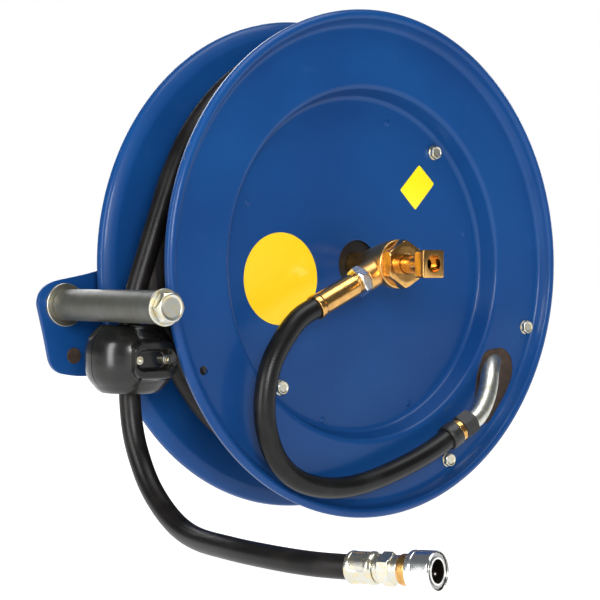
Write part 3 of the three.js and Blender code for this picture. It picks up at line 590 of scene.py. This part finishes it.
# ---- Stickers ----
# Two plain vinyl stickers on the panel, a round one and a lozenge, with nothing printed on them.
def vinyl(name):
    return Finish(name, Specular_IOR_Level=0.5, Coat_Weight=0.3, Coat_Roughness=0.1)


STICKER_X, STICKER_Z, STICKER_R = -0.0985, -0.0145, 0.0455
round_vinyl = vinyl("sticker_round_vinyl")
round_vinyl.shader.inputs["Base Color"].default_value = colour(0.93, 0.58, 0.006)
round_vinyl.set("Roughness", 0.3 + round_vinyl.noise(round_vinyl.place(), 120, 3) * 0.12)
disc_sticker = turned([(0, -0.00035, 0), (STICKER_R, -0.00035, 0.0002), (STICKER_R, 0, 0.0001),
                       (0, 0, 0)], (STICKER_X, PANEL_Y, STICKER_Z), sides=96)
add("sticker_round", disc_sticker, "drum", "blue_paint", round_vinyl)

yellow_vinyl = vinyl("sticker_lozenge_vinyl")
yellow_vinyl.shader.inputs["Base Color"].default_value = colour(0.93, 0.74, 0.004)
yellow_vinyl.set("Roughness", 0.32 + yellow_vinyl.noise(yellow_vinyl.place(), 120, 3) * 0.12)
lozenge = extruded(mm([
    (83.8, 103.8, 2), (57.4, 77, 2), (78.3, 56.7, 2), (105, 84.6, 2)]),
    PANEL_Y - 0.00035, PANEL_Y, 0.0001)
add("sticker_lozenge", lozenge, "drum", "blue_paint", yellow_vinyl)


# ---- Hub, bearings and drum core ----
# Inside the drum: the core shell that the hose is wound on, the hub turning, two ball bearings and
# the fixed axle. Only slivers of them show through the centre hole, the slot and the back.
def machined(name, tone, gloss, metal=1.0):
    """Bare or near-black steel with rings left by the lathe and a film of oil."""
    made = Finish(name, Metallic=metal)
    where = made.place()
    film, rings = made.noise(where, 60, 4, 0.6), made.noise(made.place((300, 1800, 300)), 1, 2, 0.5)
    made.set("Base Color", made.mix(film.between(0.3, 0.7), colour(*tone),
                                    colour(*[c * 0.72 for c in tone])))
    made.set("Roughness", gloss + film * 0.18)
    made.bump(rings, 0.1, 0.00004)
    return made


steel = machined("ground_steel", (0.46, 0.46, 0.45), 0.24)
# Painted shade: the near-black tone is set this dark so that the hub in the centre hole looks as
# black as the shade there. The spring arbor shares it.
dark_steel = machined("near_black_steel_and_hole_shade", (0.018, 0.017, 0.016), 0.45, 0.5)


def keep(finish, *names):
    """Gives CAD nodes whose shape is right their finish."""
    for name in names:
        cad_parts[name].material_slots[0].material = finish.material


keep(steel, "drum_core", "front_bearing", "rear_bearing", "mainspring", "sleeve_ring",
     "sleeve_spring", "poppet_spring")
keep(dark_steel, "spring_arbor")
hub_rings = turned(mm([
    (12, -158.5, 0.4), (31, -158.5, 0.6), (31, -160.5, 0.4), (38, -160.5, 0.6), (38, -155, 0.8),
    (31, -155, 0.8), (31, -106, 0.6), (26.3, -106, 0.4), (26.3, -151.5, 0.4), (12, -151.5, 0.4)]))
add("hub_turning", hub_rings, "drum", "dark_steel", dark_steel, "hub")
add("axle_shaft", turned(mm([
    (0, -149.5, 0), (12.4, -149.5, 1), (12.4, -61, 0.4), (20, -61, 0.6), (20, -55.3, 0.4),
    (12.4, -55.3, 0.4), (12.4, -26, 1.2), (0, -26, 0)])),
    "frame", "steel", steel, "axle")
add("axle_nut_hex", turned(mm([
    (12.7, -44.4, 0.4), (19.5, -44.4, 0.5), (21.94, -43, 0.3), (21.94, -32.2, 0.3),
    (18, -30.7, 0.4), (13.7, -30.7, 0.4), (12.7, -31.7, 0.3)]),
    shape=hexagonal(0.038, -0.04438, -0.03072)), "frame", "zinc", zinc, "axle_nut")

# ---- Spring motor ----
# A shallow drawn case bolted to the rear panel, with a cover that has a pressed ring. It holds the
# flat spiral spring that rewinds the hose.
case = turned(mm([
    (28, -103.2, 0.6), (118, -103.2, 3), (118, -72.2, 0.3), (116, -72.2, 0.3), (116, -101.2, 2),
    (28, -101.2, 0.6)]), sides=128)
add("spring_case_shell", case, "drum", "blue_paint", blue, "spring_case")
cover = turned(mm([
    (22, -71.9, 0.5), (118, -71.9, 0.6), (118, -69.9, 1), (22, -69.9, 0.6)]), sides=128)
add("spring_cover_plate", cover, "drum", "blue_paint", blue, "spring_cover")
for i in range(8):
    x, z = polar(0.11, 22.5 + 45 * i)
    screw = turned(mm([
        (0, -67.9, 0), (3, -67.9, 1.2), (3.6, -69.4, 0.6), (3.6, -70, 0.2), (0, -70, 0)]),
        (x, 0, z), sides=32)
    add(f"cover_screw_{i + 1}", screw, "drum", "zinc", zinc)

# ---- Ratchet and pawl ----
# A plated steel plate with four notches on the spring cover. The pawl on its pin drops into a notch
# and holds the hose at the length that was pulled out.
notched = turned(mm([
    (30, -69.6, 0.4), (58, -69.6, 0.5), (58, -65.4, 0.5), (30, -65.4, 0.4)]), sides=128)
notches = []
for x, z in ((0.058, 0), (0, 0.058), (-0.058, 0), (0, -0.058)):
    wide, high = (0.01, 0.0125) if z == 0 else (0.0125, 0.01)
    notches.append(extruded(oblong_outline(x, z, wide, high, 0.0015), -0.075, -0.06))
add("ratchet_plate_notched", carved(notched, notches), "drum", "zinc", zinc, "ratchet_plate")
PIVOT_X, PIVOT_Z = -0.0775, -0.038
lever = extruded([
    (PIVOT_X + 0.0076, PIVOT_Z - 0.0022, 0.002), (-0.0592, 0.001, 0.0012), (-0.0648, 0.003, 0.0012),
    (PIVOT_X - 0.0076, PIVOT_Z + 0.0022, 0.002)], -0.0694, -0.0656, 0.0004)
eye = turned(mm([
    (4.3, -69.4, 0.3), (8, -69.4, 0.5), (8, -65.6, 0.5), (4.3, -65.6, 0.3)]),
    (PIVOT_X, 0, PIVOT_Z), sides=48)
lever = carved(lever, [drill(0.006, PIVOT_X, PIVOT_Z, -0.075, -0.06)])
add("pawl_lever", carved(lever, [eye], "UNION"), "pawl", "zinc", zinc, "pawl")
add("pawl_pin_rivet", turned(mm([
    (0, -69.6, 0), (4, -69.6, 0.5), (4, -49, 0.8), (0, -49, 0)]),
    (PIVOT_X, 0, PIVOT_Z), sides=40), "frame", "zinc", zinc, "pawl_pin")

# ---- Wall plate, channel and guide arm ----
# The fixed frame: a wall plate, a folded hat channel that carries the axle, and a flat arm from the
# channel out to the guide roller. Flame-cut and folded plate, painted like the discs.
back_plate = extruded(oblong_outline(0, 0, 0.11, 0.15, 0.008), -0.006, 0.0)
holes = [drill(0.0055, x, z, -0.01, 0.004) for x, z, _ in oblong_outline(0, 0, 0.09, 0.13, 0)]
holes += [drill(0.0044, x, 0, -0.01, -0.001) for x in (-0.086, 0.086)]
add("wall_plate_steel", carved(back_plate, holes), "frame", "blue_paint", blue, "wall_plate")
web, foot, thick = -0.0497, -0.0063, 0.005
channel = extruded([
    (-0.07, web, 0.004), (0.07, web, 0.004), (0.07, foot - thick, 0.002),
    (0.1, foot - thick, 0.0006), (0.1, foot, 0.0006), (0.065, foot, 0.004),
    (0.065, web + thick, 0.002), (-0.065, web + thick, 0.002), (-0.065, foot, 0.004),
    (-0.1, foot, 0.0006), (-0.1, foot - thick, 0.0006), (-0.07, foot - thick, 0.002)],
    -0.11, 0.11, axes="xyz")
holes = [drill(0.0129, 0, 0, -0.055, -0.04)] + [drill(0.0044, x, 0, -0.014, -0.004)
                                                  for x in (-0.086, 0.086)]
add("axle_channel_folded", carved(channel, holes), "frame", "blue_paint", blue, "axle_channel")
arm = extruded(mm([
    (55, 60, 6), (-60, 55, 10), (-244, -8, 30), (-289, -16, 10), (-299, -20, 6), (-306, -28, 6),
    (-308.5, -38, 8), (-301, -68, 10), (-295.5, -94, 4), (-291.5, -101, 5), (-284, -106, 6),
    (-264, -109.5, 10), (-240, -109, 12), (-60, -70, 10), (55, -60, 6)]), -0.055, -0.05)
ROLLER_X, ROLLER_Z = -0.2794, -0.0394
holes = [drill(0.0129, 0, 0, -0.06, -0.045, 64), drill(0.0062, ROLLER_X, ROLLER_Z, -0.06, -0.045),
         drill(0.0065, -0.269, -0.089, -0.06, -0.045), drill(0.0044, PIVOT_X, PIVOT_Z, -0.06,
         -0.045)]
add("guide_arm_plate", carved(arm, holes), "frame", "blue_paint", blue, "guide_arm")

# ---- Swivel ----
# A bell-shaped brass casting screwed to the drum through its centre hole, with a boss for the
# outlet. The inlet stem turns in it under a hex cap.
cast_brass = Finish("cast_brass", Metallic=1.0)
where = cast_brass.place()
stain, grain = cast_brass.noise(where, 75, 4, 0.6), cast_brass.noise(where, 800, 3, 0.6)
cast_brass.set("Base Color", cast_brass.mix(stain.between(0.35, 0.7), colour(0.74, 0.43, 0.14),
                                            colour(0.5, 0.29, 0.1)))
cast_brass.set("Roughness", 0.22 + stain * 0.16 + grain * 0.06)
cast_brass.bump(grain, 0.3, 0.0001)
bright_brass = Finish("machined_brass", Metallic=1.0)
where = bright_brass.place()
stain, lines = bright_brass.noise(where, 110, 3, 0.5), bright_brass.noise(where, 1600, 2, 0.5)
bright_brass.set("Base Color", bright_brass.mix(stain.between(0.3, 0.75), colour(0.72, 0.41, 0.13),
                                                colour(0.5, 0.27, 0.085)))
bright_brass.set("Roughness", 0.17 + stain * 0.14)
bright_brass.bump(lines, 0.12, 0.00004)

bell = turned(mm([
    (0, -152, 0), (11.7, -152, 0.6), (11.7, -176, 1), (14, -180, 2), (17, -190, 4),
    (20.5, -203, 5), (23.5, -215, 4), (24.5, -222, 2), (24, -226, 1.2), (0, -226, 0)]), sides=96)
boss = turned(mm([
    (0, 4, 0), (14, 4, 0), (14, 36, 1.2), (0, 36, 0)]),
              outlet_start, outlet_axis, sides=80)
port = turned(mm([
    (0, 0, 0), (6, 0, 0), (6, 40, 0), (0, 40, 0)]), outlet_start,
              outlet_axis, sides=40, bend=1)
stem_space = [drill(0.0094, 0, 0, -0.2275, -0.203), drill(0.0125, 0, 0, -0.2275, -0.219)]
casting = carved(carved(bell, [boss], "UNION"), stem_space + [port])
add("swivel_casting", casting, "drum", "brass", cast_brass, "swivel_body")
add("swivel_cap_hex", turned(mm([
    (9.4, -238, 0.4), (18, -238, 0.8), (22.2, -237.4, 0.6), (24.25, -235.8, 0.4),
    (24.25, -227.7, 0.4), (22.5, -226.3, 0.5), (9.4, -226.3, 0.4)]),
    shape=hexagonal(0.042, -0.23798, -0.22632)), "drum", "brass", bright_brass, "swivel_cap")
inlet_stem = turned(mm([
    (0, -214, 0), (9, -214, 0.4), (9, -215, 0.2), (7.4, -215, 0.2), (7.4, -218, 0.2),
    (9, -218, 0.2), (9, -219.4, 0.2), (12, -219.4, 0.4), (12, -225.7, 0.4), (9, -225.7, 0.3),
    (9, -265, 0.2), (0, -265, 0)]))
square_end = extruded(oblong_outline(0, 0, 0.0135, 0.0135, 0.002), -0.277, -0.264, 0.0009)
inlet_bores = [drill(0.0055, 0, 0, -0.278, -0.213), drill(0.0085, 0, 0, -0.2785, -0.2675)]
add("swivel_inlet_square", carved(carved(inlet_stem, [square_end], "UNION"), inlet_bores), "inlet",
    "brass", bright_brass, "swivel_inlet")


def mottled(name, first, second, grain, spread, gloss, **fixed):
    """A colour and a gloss that wander between two shades. Grain is the noise's scale and detail,
    spread its range, and gloss the least roughness and how much the noise adds."""
    made = Finish(name, **fixed)
    mottle = made.noise(made.place(), *grain)
    made.set("Base Color", made.mix(mottle.between(*spread), colour(*first), colour(*second)))
    made.set("Roughness", gloss[0] + mottle * gloss[1])
    return made


nitrile = mottled("nitrile_seal", (0.012, 0.012, 0.012), (0.024, 0.024, 0.023), (240, 4), (0.4,
    0.7),
                  (0.42, 0.2), Specular_IOR_Level=0.45)
keep(nitrile, "swivel_seal", "coupler_seal")

# ---- Outlet nut and upper ferrule ----
# The bright nut that holds the jumper hose to the swivel, and the brass shell crimped on the hose.
chrome = mottled("bright_plate", (0.88, 0.88, 0.86), (0.8, 0.8, 0.79), (150, 4), (0.4, 0.75),
                 (0.1, 0.14), Metallic=1.0)


def hex_nut(bore, across, low, high, start, axis):
    """A nut along an axis, chamfered at both faces."""
    corner = across / math.sqrt(3)
    return turned([
        (bore, low + 0.0003, 0.0003), (bore + 0.0006, low, 0.0002), (across * 0.47, low, 0.0004),
        (corner, low + 0.0016, 0.0003), (corner, high - 0.0016, 0.0003),
        (across * 0.47, high, 0.0004), (bore + 0.0006, high, 0.0002),
        (bore, high - 0.0003, 0.0003)], start, axis,
        shape=hexagonal(across, low + 1e-5, high - 1e-5))


def crimped(depth, low, high, count=8):
    """Presses shallow flats into the radius between two distances along the axis."""
    def shape(radius, distance, angle):
        band = smooth_step((distance - low) / 0.002) * smooth_step((high - distance) / 0.002)
        dent = depth * np.cos(angle * count / 2) ** 8
        return radius - band * dent * (radius > 0.009)
    return shape


add("outlet_nut_hex", hex_nut(0.0062, 0.027, 0.0363, 0.0465, outlet_start, outlet_axis), "drum",
    "chrome", chrome, "outlet_nut")
add("upper_ferrule_crimped", turned(mm([
    (6, 46.8, 0.3), (10.5, 46.8, 0.6), (10.5, 49.4, 0.8), (11.6, 50.4, 0.8), (11.6, 95.5, 1),
    (12.4, 97.5, 1), (12.4, 103, 1), (6, 103, 0.3)]), outlet_start, outlet_axis,
    shape=crimped(0.0005, 0.056, 0.092)), "drum", "brass", bright_brass, "upper_ferrule")

# ---- Lower fitting and riser tube ----
# The jumper's black crimped shell with its brass ring and black nut, and the plated steel tube that
# bends in through the slot to the wound hose. A thin dark brown sheet around the tube fills the slot:
# it is painted shade, standing for the dark inside of the drum.
black_steel = mottled("black_fitting_coat", (0.012, 0.012, 0.011), (0.045, 0.043, 0.038), (140, 5),
                      (0.5, 0.8), (0.3, 0.25), Specular_IOR_Level=0.5)
black_steel.bump(black_steel.noise(black_steel.place(), 700, 2), 0.15, 0.00006)
add("lower_ferrule_crimped", turned(mm([
    (6, 0.3, 0.3), (12.6, 0.3, 0.8), (13.4, 3, 1), (13.4, 14, 0.8), (6, 14, 0.3)]),
    lower_end, lower_axis,
    shape=crimped(0.0005, 0.004, 0.0125)), "drum", "black_fitting", black_steel, "lower_ferrule")
add("lower_brass_ring", turned(mm([
    (6, 14.3, 0.3), (12.2, 14.3, 0.8), (12.2, 20, 0.8), (6, 20, 0.3)]),
    lower_end, lower_axis), "drum", "brass", bright_brass, "lower_ring")
add("riser_nut_hex", hex_nut(0.0062, 0.025, 0.0203, 0.038, lower_end, lower_axis), "drum",
    "black_fitting", black_steel, "riser_nut")
bright_tube = plated("riser_plate", (0.46, 0.45, 0.34), 0.26)
riser_path = spline([
    lower_end + lower_axis * 0.0383, lower_end + lower_axis * 0.046, (0.1345, -0.2045, -0.1505),
    (0.1434, -0.202, -0.1389), (0.1521, -0.1975, -0.1247), (0.161, -0.19, -0.113),
    (0.172, -0.181, -0.105), (0.184, -0.171, -0.101)], 0.0015)
riser_path = riser_path[riser_path[:, 1] <= -0.1765]
add("riser_tube_bent", tube(riser_path, 0.01, (0, 0, 1), 40), "drum", "zinc", bright_tube,
    "riser_tube")
brown_rubber_and_slot_shade = mottled("brown_rubber_and_slot_shade", (0.03, 0.017, 0.01), (0.05, 0.03, 0.018), (160, 4),
                       (0.4, 0.7), (0.45, 0.25), Specular_IOR_Level=0.4)
# Painted shade: a thin dark brown sheet, sized to the slot and cut round the tube, stands for the
# shade inside the slot. The same brown material is also used for the arm's hole plug.
slot_middle = np.array([0.171, -0.126])
SLOT_SHADE_FIT = 0.998
sheet = [(*(slot_middle + (np.array([x, z]) - slot_middle) * SLOT_SHADE_FIT), r)
         for x, z, r in slot_outline]
slot_shade_sheet = extruded(sheet, -0.1838, -0.1821, 0.0003, bend=10)
add("riser_slot_shade_sheet", carved(slot_shade_sheet, [tube(riser_path, 0.0102, (0, 0, 1), 40)]), "drum",
    "seal_rubber", brown_rubber_and_slot_shade)

# ---- Guide roller ----
# A grey nylon roller that the hose runs over, on a long bolt between a washer and a flange, and the
# plug in the spare hole of the arm.
nylon = Finish("grey_nylon", Specular_IOR_Level=0.5)
where = nylon.place()
streak = nylon.noise(nylon.place((60, 900, 60)), 1, 4, 0.6)
smear = nylon.noise(where, 45, 4, 0.6)
nylon.set("Base Color", nylon.mix((streak * 0.6 + smear * 0.4).between(0.36, 0.66),
                                  colour(0.056, 0.06, 0.053), colour(0.04, 0.036, 0.024)))
nylon.set("Roughness", 0.34 + smear * 0.22)
nylon.bump(streak, 0.25, 0.00008)


def roller_piece(corners, **more):
    return turned(corners, (ROLLER_X, 0, ROLLER_Z), **more)


add("guide_roller_nylon", roller_piece(mm([
    (5.5, -226, 0.4), (15.2, -226, 1.2), (15.2, -59, 1.2), (5.5, -59, 0.4)])),
    "roller", "roller", nylon, "guide_roller")
add("roller_washer_ring", roller_piece(mm([
    (5.3, -229.2, 0.3), (17, -229.2, 0.9), (17, -226.4, 0.9), (5.3, -226.4, 0.3)])),
    "frame", "zinc", zinc, "roller_washer")
add("roller_flange_ring", roller_piece(mm([
    (5.3, -58.7, 0.3), (21, -58.7, 0.8), (21, -55.3, 0.8), (5.3, -55.3, 0.3)])),
    "frame", "zinc", zinc, "roller_flange")
bolt_flats = hexagonal(0.026, -0.23948, -0.22952)
add("roller_bolt_hex", roller_piece(mm([
    (0, -238.8, 0), (9.6, -238.8, 0.5), (11, -239.5, 0.5), (12.2, -239.5, 0.5),
    (15.01, -237.2, 0.3), (15.01, -231.2, 0.3), (12.5, -229.5, 0.3), (5, -229.5, 0.3),
    (5, -36, 0.9), (0, -36, 0)]), shape=lambda r, y, a: bolt_flats(r, y, a + np.pi / 6)),
    "frame", "zinc", zinc, "roller_bolt")
add("roller_nut_hex", hex_nut(0.0053, 0.016, -0.0497, -0.041, (ROLLER_X, 0, ROLLER_Z), (0, 1, 0)),
    "frame", "zinc", zinc, "roller_nut")

plug = turned(mm([
    (0, -56, 0), (7.8, -56, 0.6), (7.8, -55.1, 0.2), (6.3, -55.1, 0.2), (6.3, -49.2, 0.6),
    (0, -49.2, 0)]), (-0.269, 0, -0.089), sides=48)
add("arm_hole_plug", plug, "frame", "seal_rubber", brown_rubber_and_slot_shade)

# ---- Hose stop ----
# Two moulded rubber halves bolted round the hose, glossy black. Each has an oblong pocket with a
# thick rounded lip, and the bolt heads sit in the front pocket, which is in a flat raised block.
STOP_X, STOP_Z, STOP_R, STOP_HALF = -0.2555, -0.089, 0.044, 0.032
BOSS_DEPTH = 0.0455
moulded = Finish("moulded_rubber", Specular_IOR_Level=0.3, Coat_Roughness=0.16)
bloom = moulded.noise(moulded.place(), 70, 5, 0.6)
moulded.set("Base Color", moulded.mix(bloom.between(0.4, 0.75), colour(0.006, 0.006, 0.006),
                                      colour(0.013, 0.012, 0.01)))
moulded.set("Roughness", 0.2 + bloom * 0.12)
moulded.set("Coat Weight", 0.4 - bloom * 0.2)
moulded.bump(moulded.noise(moulded.place(), 500, 3), 0.16, 0.00008)


def stop_half(side):
    """Half of a flattened barrel on a grid of angle and section. The section runs up the outside,
    over the top, down the bore and back; a bulge and a hollow, both rounded oblongs in the
    distances across and up from the middle of the face, change the outside's radius."""
    angle = np.linspace(0.004, np.pi - 0.004, 150)[:, None]
    up = np.linspace(-1, 1, 111)
    height = STOP_HALF * np.sign(up) * (1 - (1 - np.abs(up)) ** 1.35)
    fullness = 1 - (np.abs(height) / STOP_HALF) ** 3.2 * 0.4
    radius = np.minimum(STOP_R * fullness, STOP_R)[None] + 0 * angle
    across, level = STOP_R * (angle - np.pi / 2), height[None]

    def oblong(wide, tall, corner):
        """Distance outside a rounded oblong, negative inside it."""
        a = np.abs(across) - (wide - corner)
        b = np.abs(level) - (tall - corner)
        return np.hypot(np.maximum(a, 0), np.maximum(b, 0)) + np.minimum(np.maximum(a, b),
        0) - corner

    wide, tall, soft = (0.0212, 0.0172, 0.0035) if side < 0 else (0.0235, 0.0135, 0.009)
    lip = 1 - smooth_step((oblong(wide, tall, 0.009) + 0.001) / soft)
    hollow = 1 - smooth_step((oblong(0.0185, 0.009, 0.0075) + 0.001) / 0.0022)
    radius = radius - 0.0022 * (1 - lip) * (np.abs(level) < 0.031) * smooth_step(
        (STOP_HALF - np.abs(level)) / 0.008)
    if side < 0:
        boss_r = BOSS_DEPTH / np.maximum(np.sin(angle), 0.5)
        radius = radius * (1 - lip) + np.maximum(radius, boss_r) * lip
    floor_r = (STOP_R - 0.009) / np.maximum(np.sin(angle), 0.5)
    radius = radius * (1 - hollow) + np.minimum(radius, floor_r) * hollow
    rim_in, bore = radius[:, :1], 0.0111
    rings = np.concatenate([
        radius, rim_in * 0.985, rim_in * 0.9, rim_in * 0.5 + bore * 0.5, bore + 0.0016 + 0 * rim_in,
        bore + 0.0003 + 0 * rim_in, bore + 0 * rim_in, bore + 0 * rim_in, bore + 0.0003 + 0 * rim_in,
        bore + 0.0016 + 0 * rim_in, rim_in * 0.5 + bore * 0.5, rim_in * 0.9, rim_in * 0.985], 1)
    top = STOP_HALF
    levels = np.concatenate([height, [top + 0.0, top + 0.0, top, top, top - 0.0003, top - 0.0016,
                                      0.0016 - top, 0.0003 - top, -top, -top, -top, -top]])
    x = STOP_X + rings * np.cos(angle)
    y = MIDDLE_Y + side * (0.0003 + rings * np.sin(angle))
    z = STOP_Z + levels[None] + 0 * rings
    return surface(np.stack([x, y, z], -1), sharp=50)


add("hose_stop_front", stop_half(-1), "frame", "stop_rubber", moulded, "stop_front_half")
add("hose_stop_rear", stop_half(1), "frame", "stop_rubber", moulded, "stop_rear_half")
for i, x in enumerate((-0.0148, 0.0148)):
    seat = MIDDLE_Y - 0.0353
    add(f"stop_bolt_{i + 1}_socket", turned([
        (0, seat - 0.0022, 0), (0.0021, seat - 0.0022, 0.0002), (0.0021, seat - 0.005, 0.0002),
        (0.0042, seat - 0.005, 0.0006), (0.0042, seat, 0.0002), (0.0025, seat, 0.0002),
        (0.0025, MIDDLE_Y + 0.038, 0.0005), (0, MIDDLE_Y + 0.038, 0)],
        (STOP_X + x, 0, STOP_Z), sides=40), "frame", "zinc", zinc, f"stop_bolt_{i + 1}")

# ---- Hose ferrule and stem ----
# The plated shell crimped on the end of the hose, and the stem with its hexagon that the coupler is
# screwed to. Distances run along the fitting from the end of the hose.
FITTING = np.array([-0.2575, -0.46, -0.2436])
yaw, rise = math.radians(16), math.radians(3.2)
fitting_axis = np.array([math.sin(yaw) * math.cos(rise), -math.cos(yaw) * math.cos(rise),
                         math.sin(rise)])


def on_fitting(corners, **more):
    return turned(corners, FITTING, fitting_axis, **more)


fitting_zinc = plated("fitting_plate", (0.68, 0.6, 0.4), 0.16)
ferrule = add("hose_ferrule_crimped", on_fitting(mm([
    (6, 0, 0.3), (12.5, 0, 0.8), (13.5, 1.5, 0.6), (13.5, 4, 0.6), (13.1, 4.6, 0.5),
    (13.1, 20, 0.5), (13.5, 20.6, 0.6), (13.5, 23, 0.8), (12.3, 26, 0.8), (6, 26, 0.3)]),
    shape=crimped(0.0007, 0.005, 0.02)), "frame", "zinc", fitting_zinc, "hose_ferrule")
stem = add("hose_stem_hex", on_fitting(mm([
    (4.5, 26.3, 0.3), (11.4, 26.3, 0.6), (11.4, 30.6, 0.4), (12, 31, 0.2), (13.86, 32.2, 0.3),
    (13.86, 40.8, 0.3), (12, 42, 0.2), (11.4, 42.4, 0.4), (11.4, 49, 0.6), (7.8, 49, 0.3),
    (7.8, 50.6, 0.4), (4.5, 50.6, 0.3)]),
    shape=hexagonal(0.024, 0.0309, 0.0421)), "frame", "zinc", fitting_zinc, "hose_stem")

# ---- Quick disconnect coupler ----
# A brass body bored for the plug, a bright spring-loaded sleeve that is pushed back to let the four
# locking balls out, and a poppet valve that shuts when the plug leaves.
body = on_fitting(mm([
    (8.2, 49.3, 0.4), (12.6, 49.3, 0.8), (12.6, 57.5, 0.6), (11.2, 57.5, 0.3), (11.2, 77.7, 0.2),
    (10.2, 77.7, 0.2), (10.2, 79.9, 0.2), (11.2, 79.9, 0.2), (11.2, 80.9, 0.4), (9.2, 80.9, 0.6),
    (9.2, 63, 0.3), (6, 63, 0.3), (6, 60.2, 0.3), (8.2, 60.2, 0.3)]))
ball_places = [(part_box(f"locking_ball_{i + 1}")[0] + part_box(f"locking_ball_{i + 1}")[1]) / 2
               for i in range(4)]
ball_holes = []
for place in ball_places:
    middle = FITTING + fitting_axis * 0.072
    way = unit(np.array(place) - middle)
    ball_holes.append(turned(mm([
        (0, 5, 0), (2.7, 5, 0), (2.7, 14, 0), (0, 14, 0)]), middle, way, sides=32, bend=1))
coupler_brass = Finish("coupler_brass_plated_end_painted_bore_shade", Metallic=1.0)
px, py, pz = coupler_brass.parts(coupler_brass.place((1, 1, 1), tuple(FITTING)))
along = px * fitting_axis[0] + py * fitting_axis[1] + pz * fitting_axis[2]
off_axis = (px * px + py * py + pz * pz - along * along) ** 0.5
stain = coupler_brass.noise(coupler_brass.place(), 110, 3, 0.5)
shade = coupler_brass.mix(stain.between(0.3, 0.75), colour(0.72, 0.41, 0.13),
                          colour(0.5, 0.27, 0.085))
shade = coupler_brass.mix(along > 0.0795, shade, colour(0.8, 0.8, 0.78))
# Painted shade: inside the bore, past 57 mm along the fitting, the colour goes near black and
# rougher. This stands for the shade deep in the coupler's mouth.
painted_bore_shade = (off_axis < 0.00935) * (along > 0.057)
coupler_brass.set("Base Color", coupler_brass.mix(painted_bore_shade, shade, colour(0.03, 0.024, 0.018)))
coupler_brass.set("Roughness", 0.17 + stain * 0.14 + painted_bore_shade * 0.3)
coupler = add("coupler_body_brass", carved(body, ball_holes), "frame", "brass", coupler_brass,
              "coupler_body")
sleeve = add("coupler_sleeve_bright", on_fitting(mm([
    (13, 58.2, 0.4), (15.3, 58.2, 1), (16, 59.5, 1), (16, 63.2, 0.5), (15.6, 63.6, 0.3),
    (15.6, 64.4, 0.3), (16, 64.8, 0.5), (16, 80, 1), (15.3, 81.5, 0.9), (14.9, 81.5, 0.3),
    (14.9, 77, 1), (13.1, 72, 1), (13.1, 69, 0.3), (11.5, 69, 0.3), (11.5, 66.3, 0.3),
    (13, 66.3, 0.3)])), "sleeve", "chrome", chrome, "coupler_sleeve")
poppet = add("poppet_valve_turned", on_fitting(mm([
    (0, 57.6, 0), (7.6, 57.6, 0.3), (7.6, 58.8, 0.3), (5.5, 59.9, 0.3), (4.6, 60.2, 0.3),
    (4.6, 67, 1.2), (0, 67, 0)]), sides=64), "poppet", "brass", bright_brass, "poppet_valve")
arc = np.linspace(0, np.pi, 17)
for i, place in enumerate(ball_places):
    ball = turned([(0.0025 * math.sin(a), -0.0025 * math.cos(a), 0) for a in arc], place, sides=32,
                  bend=1, sharp=80)
    add(f"locking_ball_{i + 1}_steel", ball, f"ball_{i + 1}", "steel", steel,
                     f"locking_ball_{i + 1}")
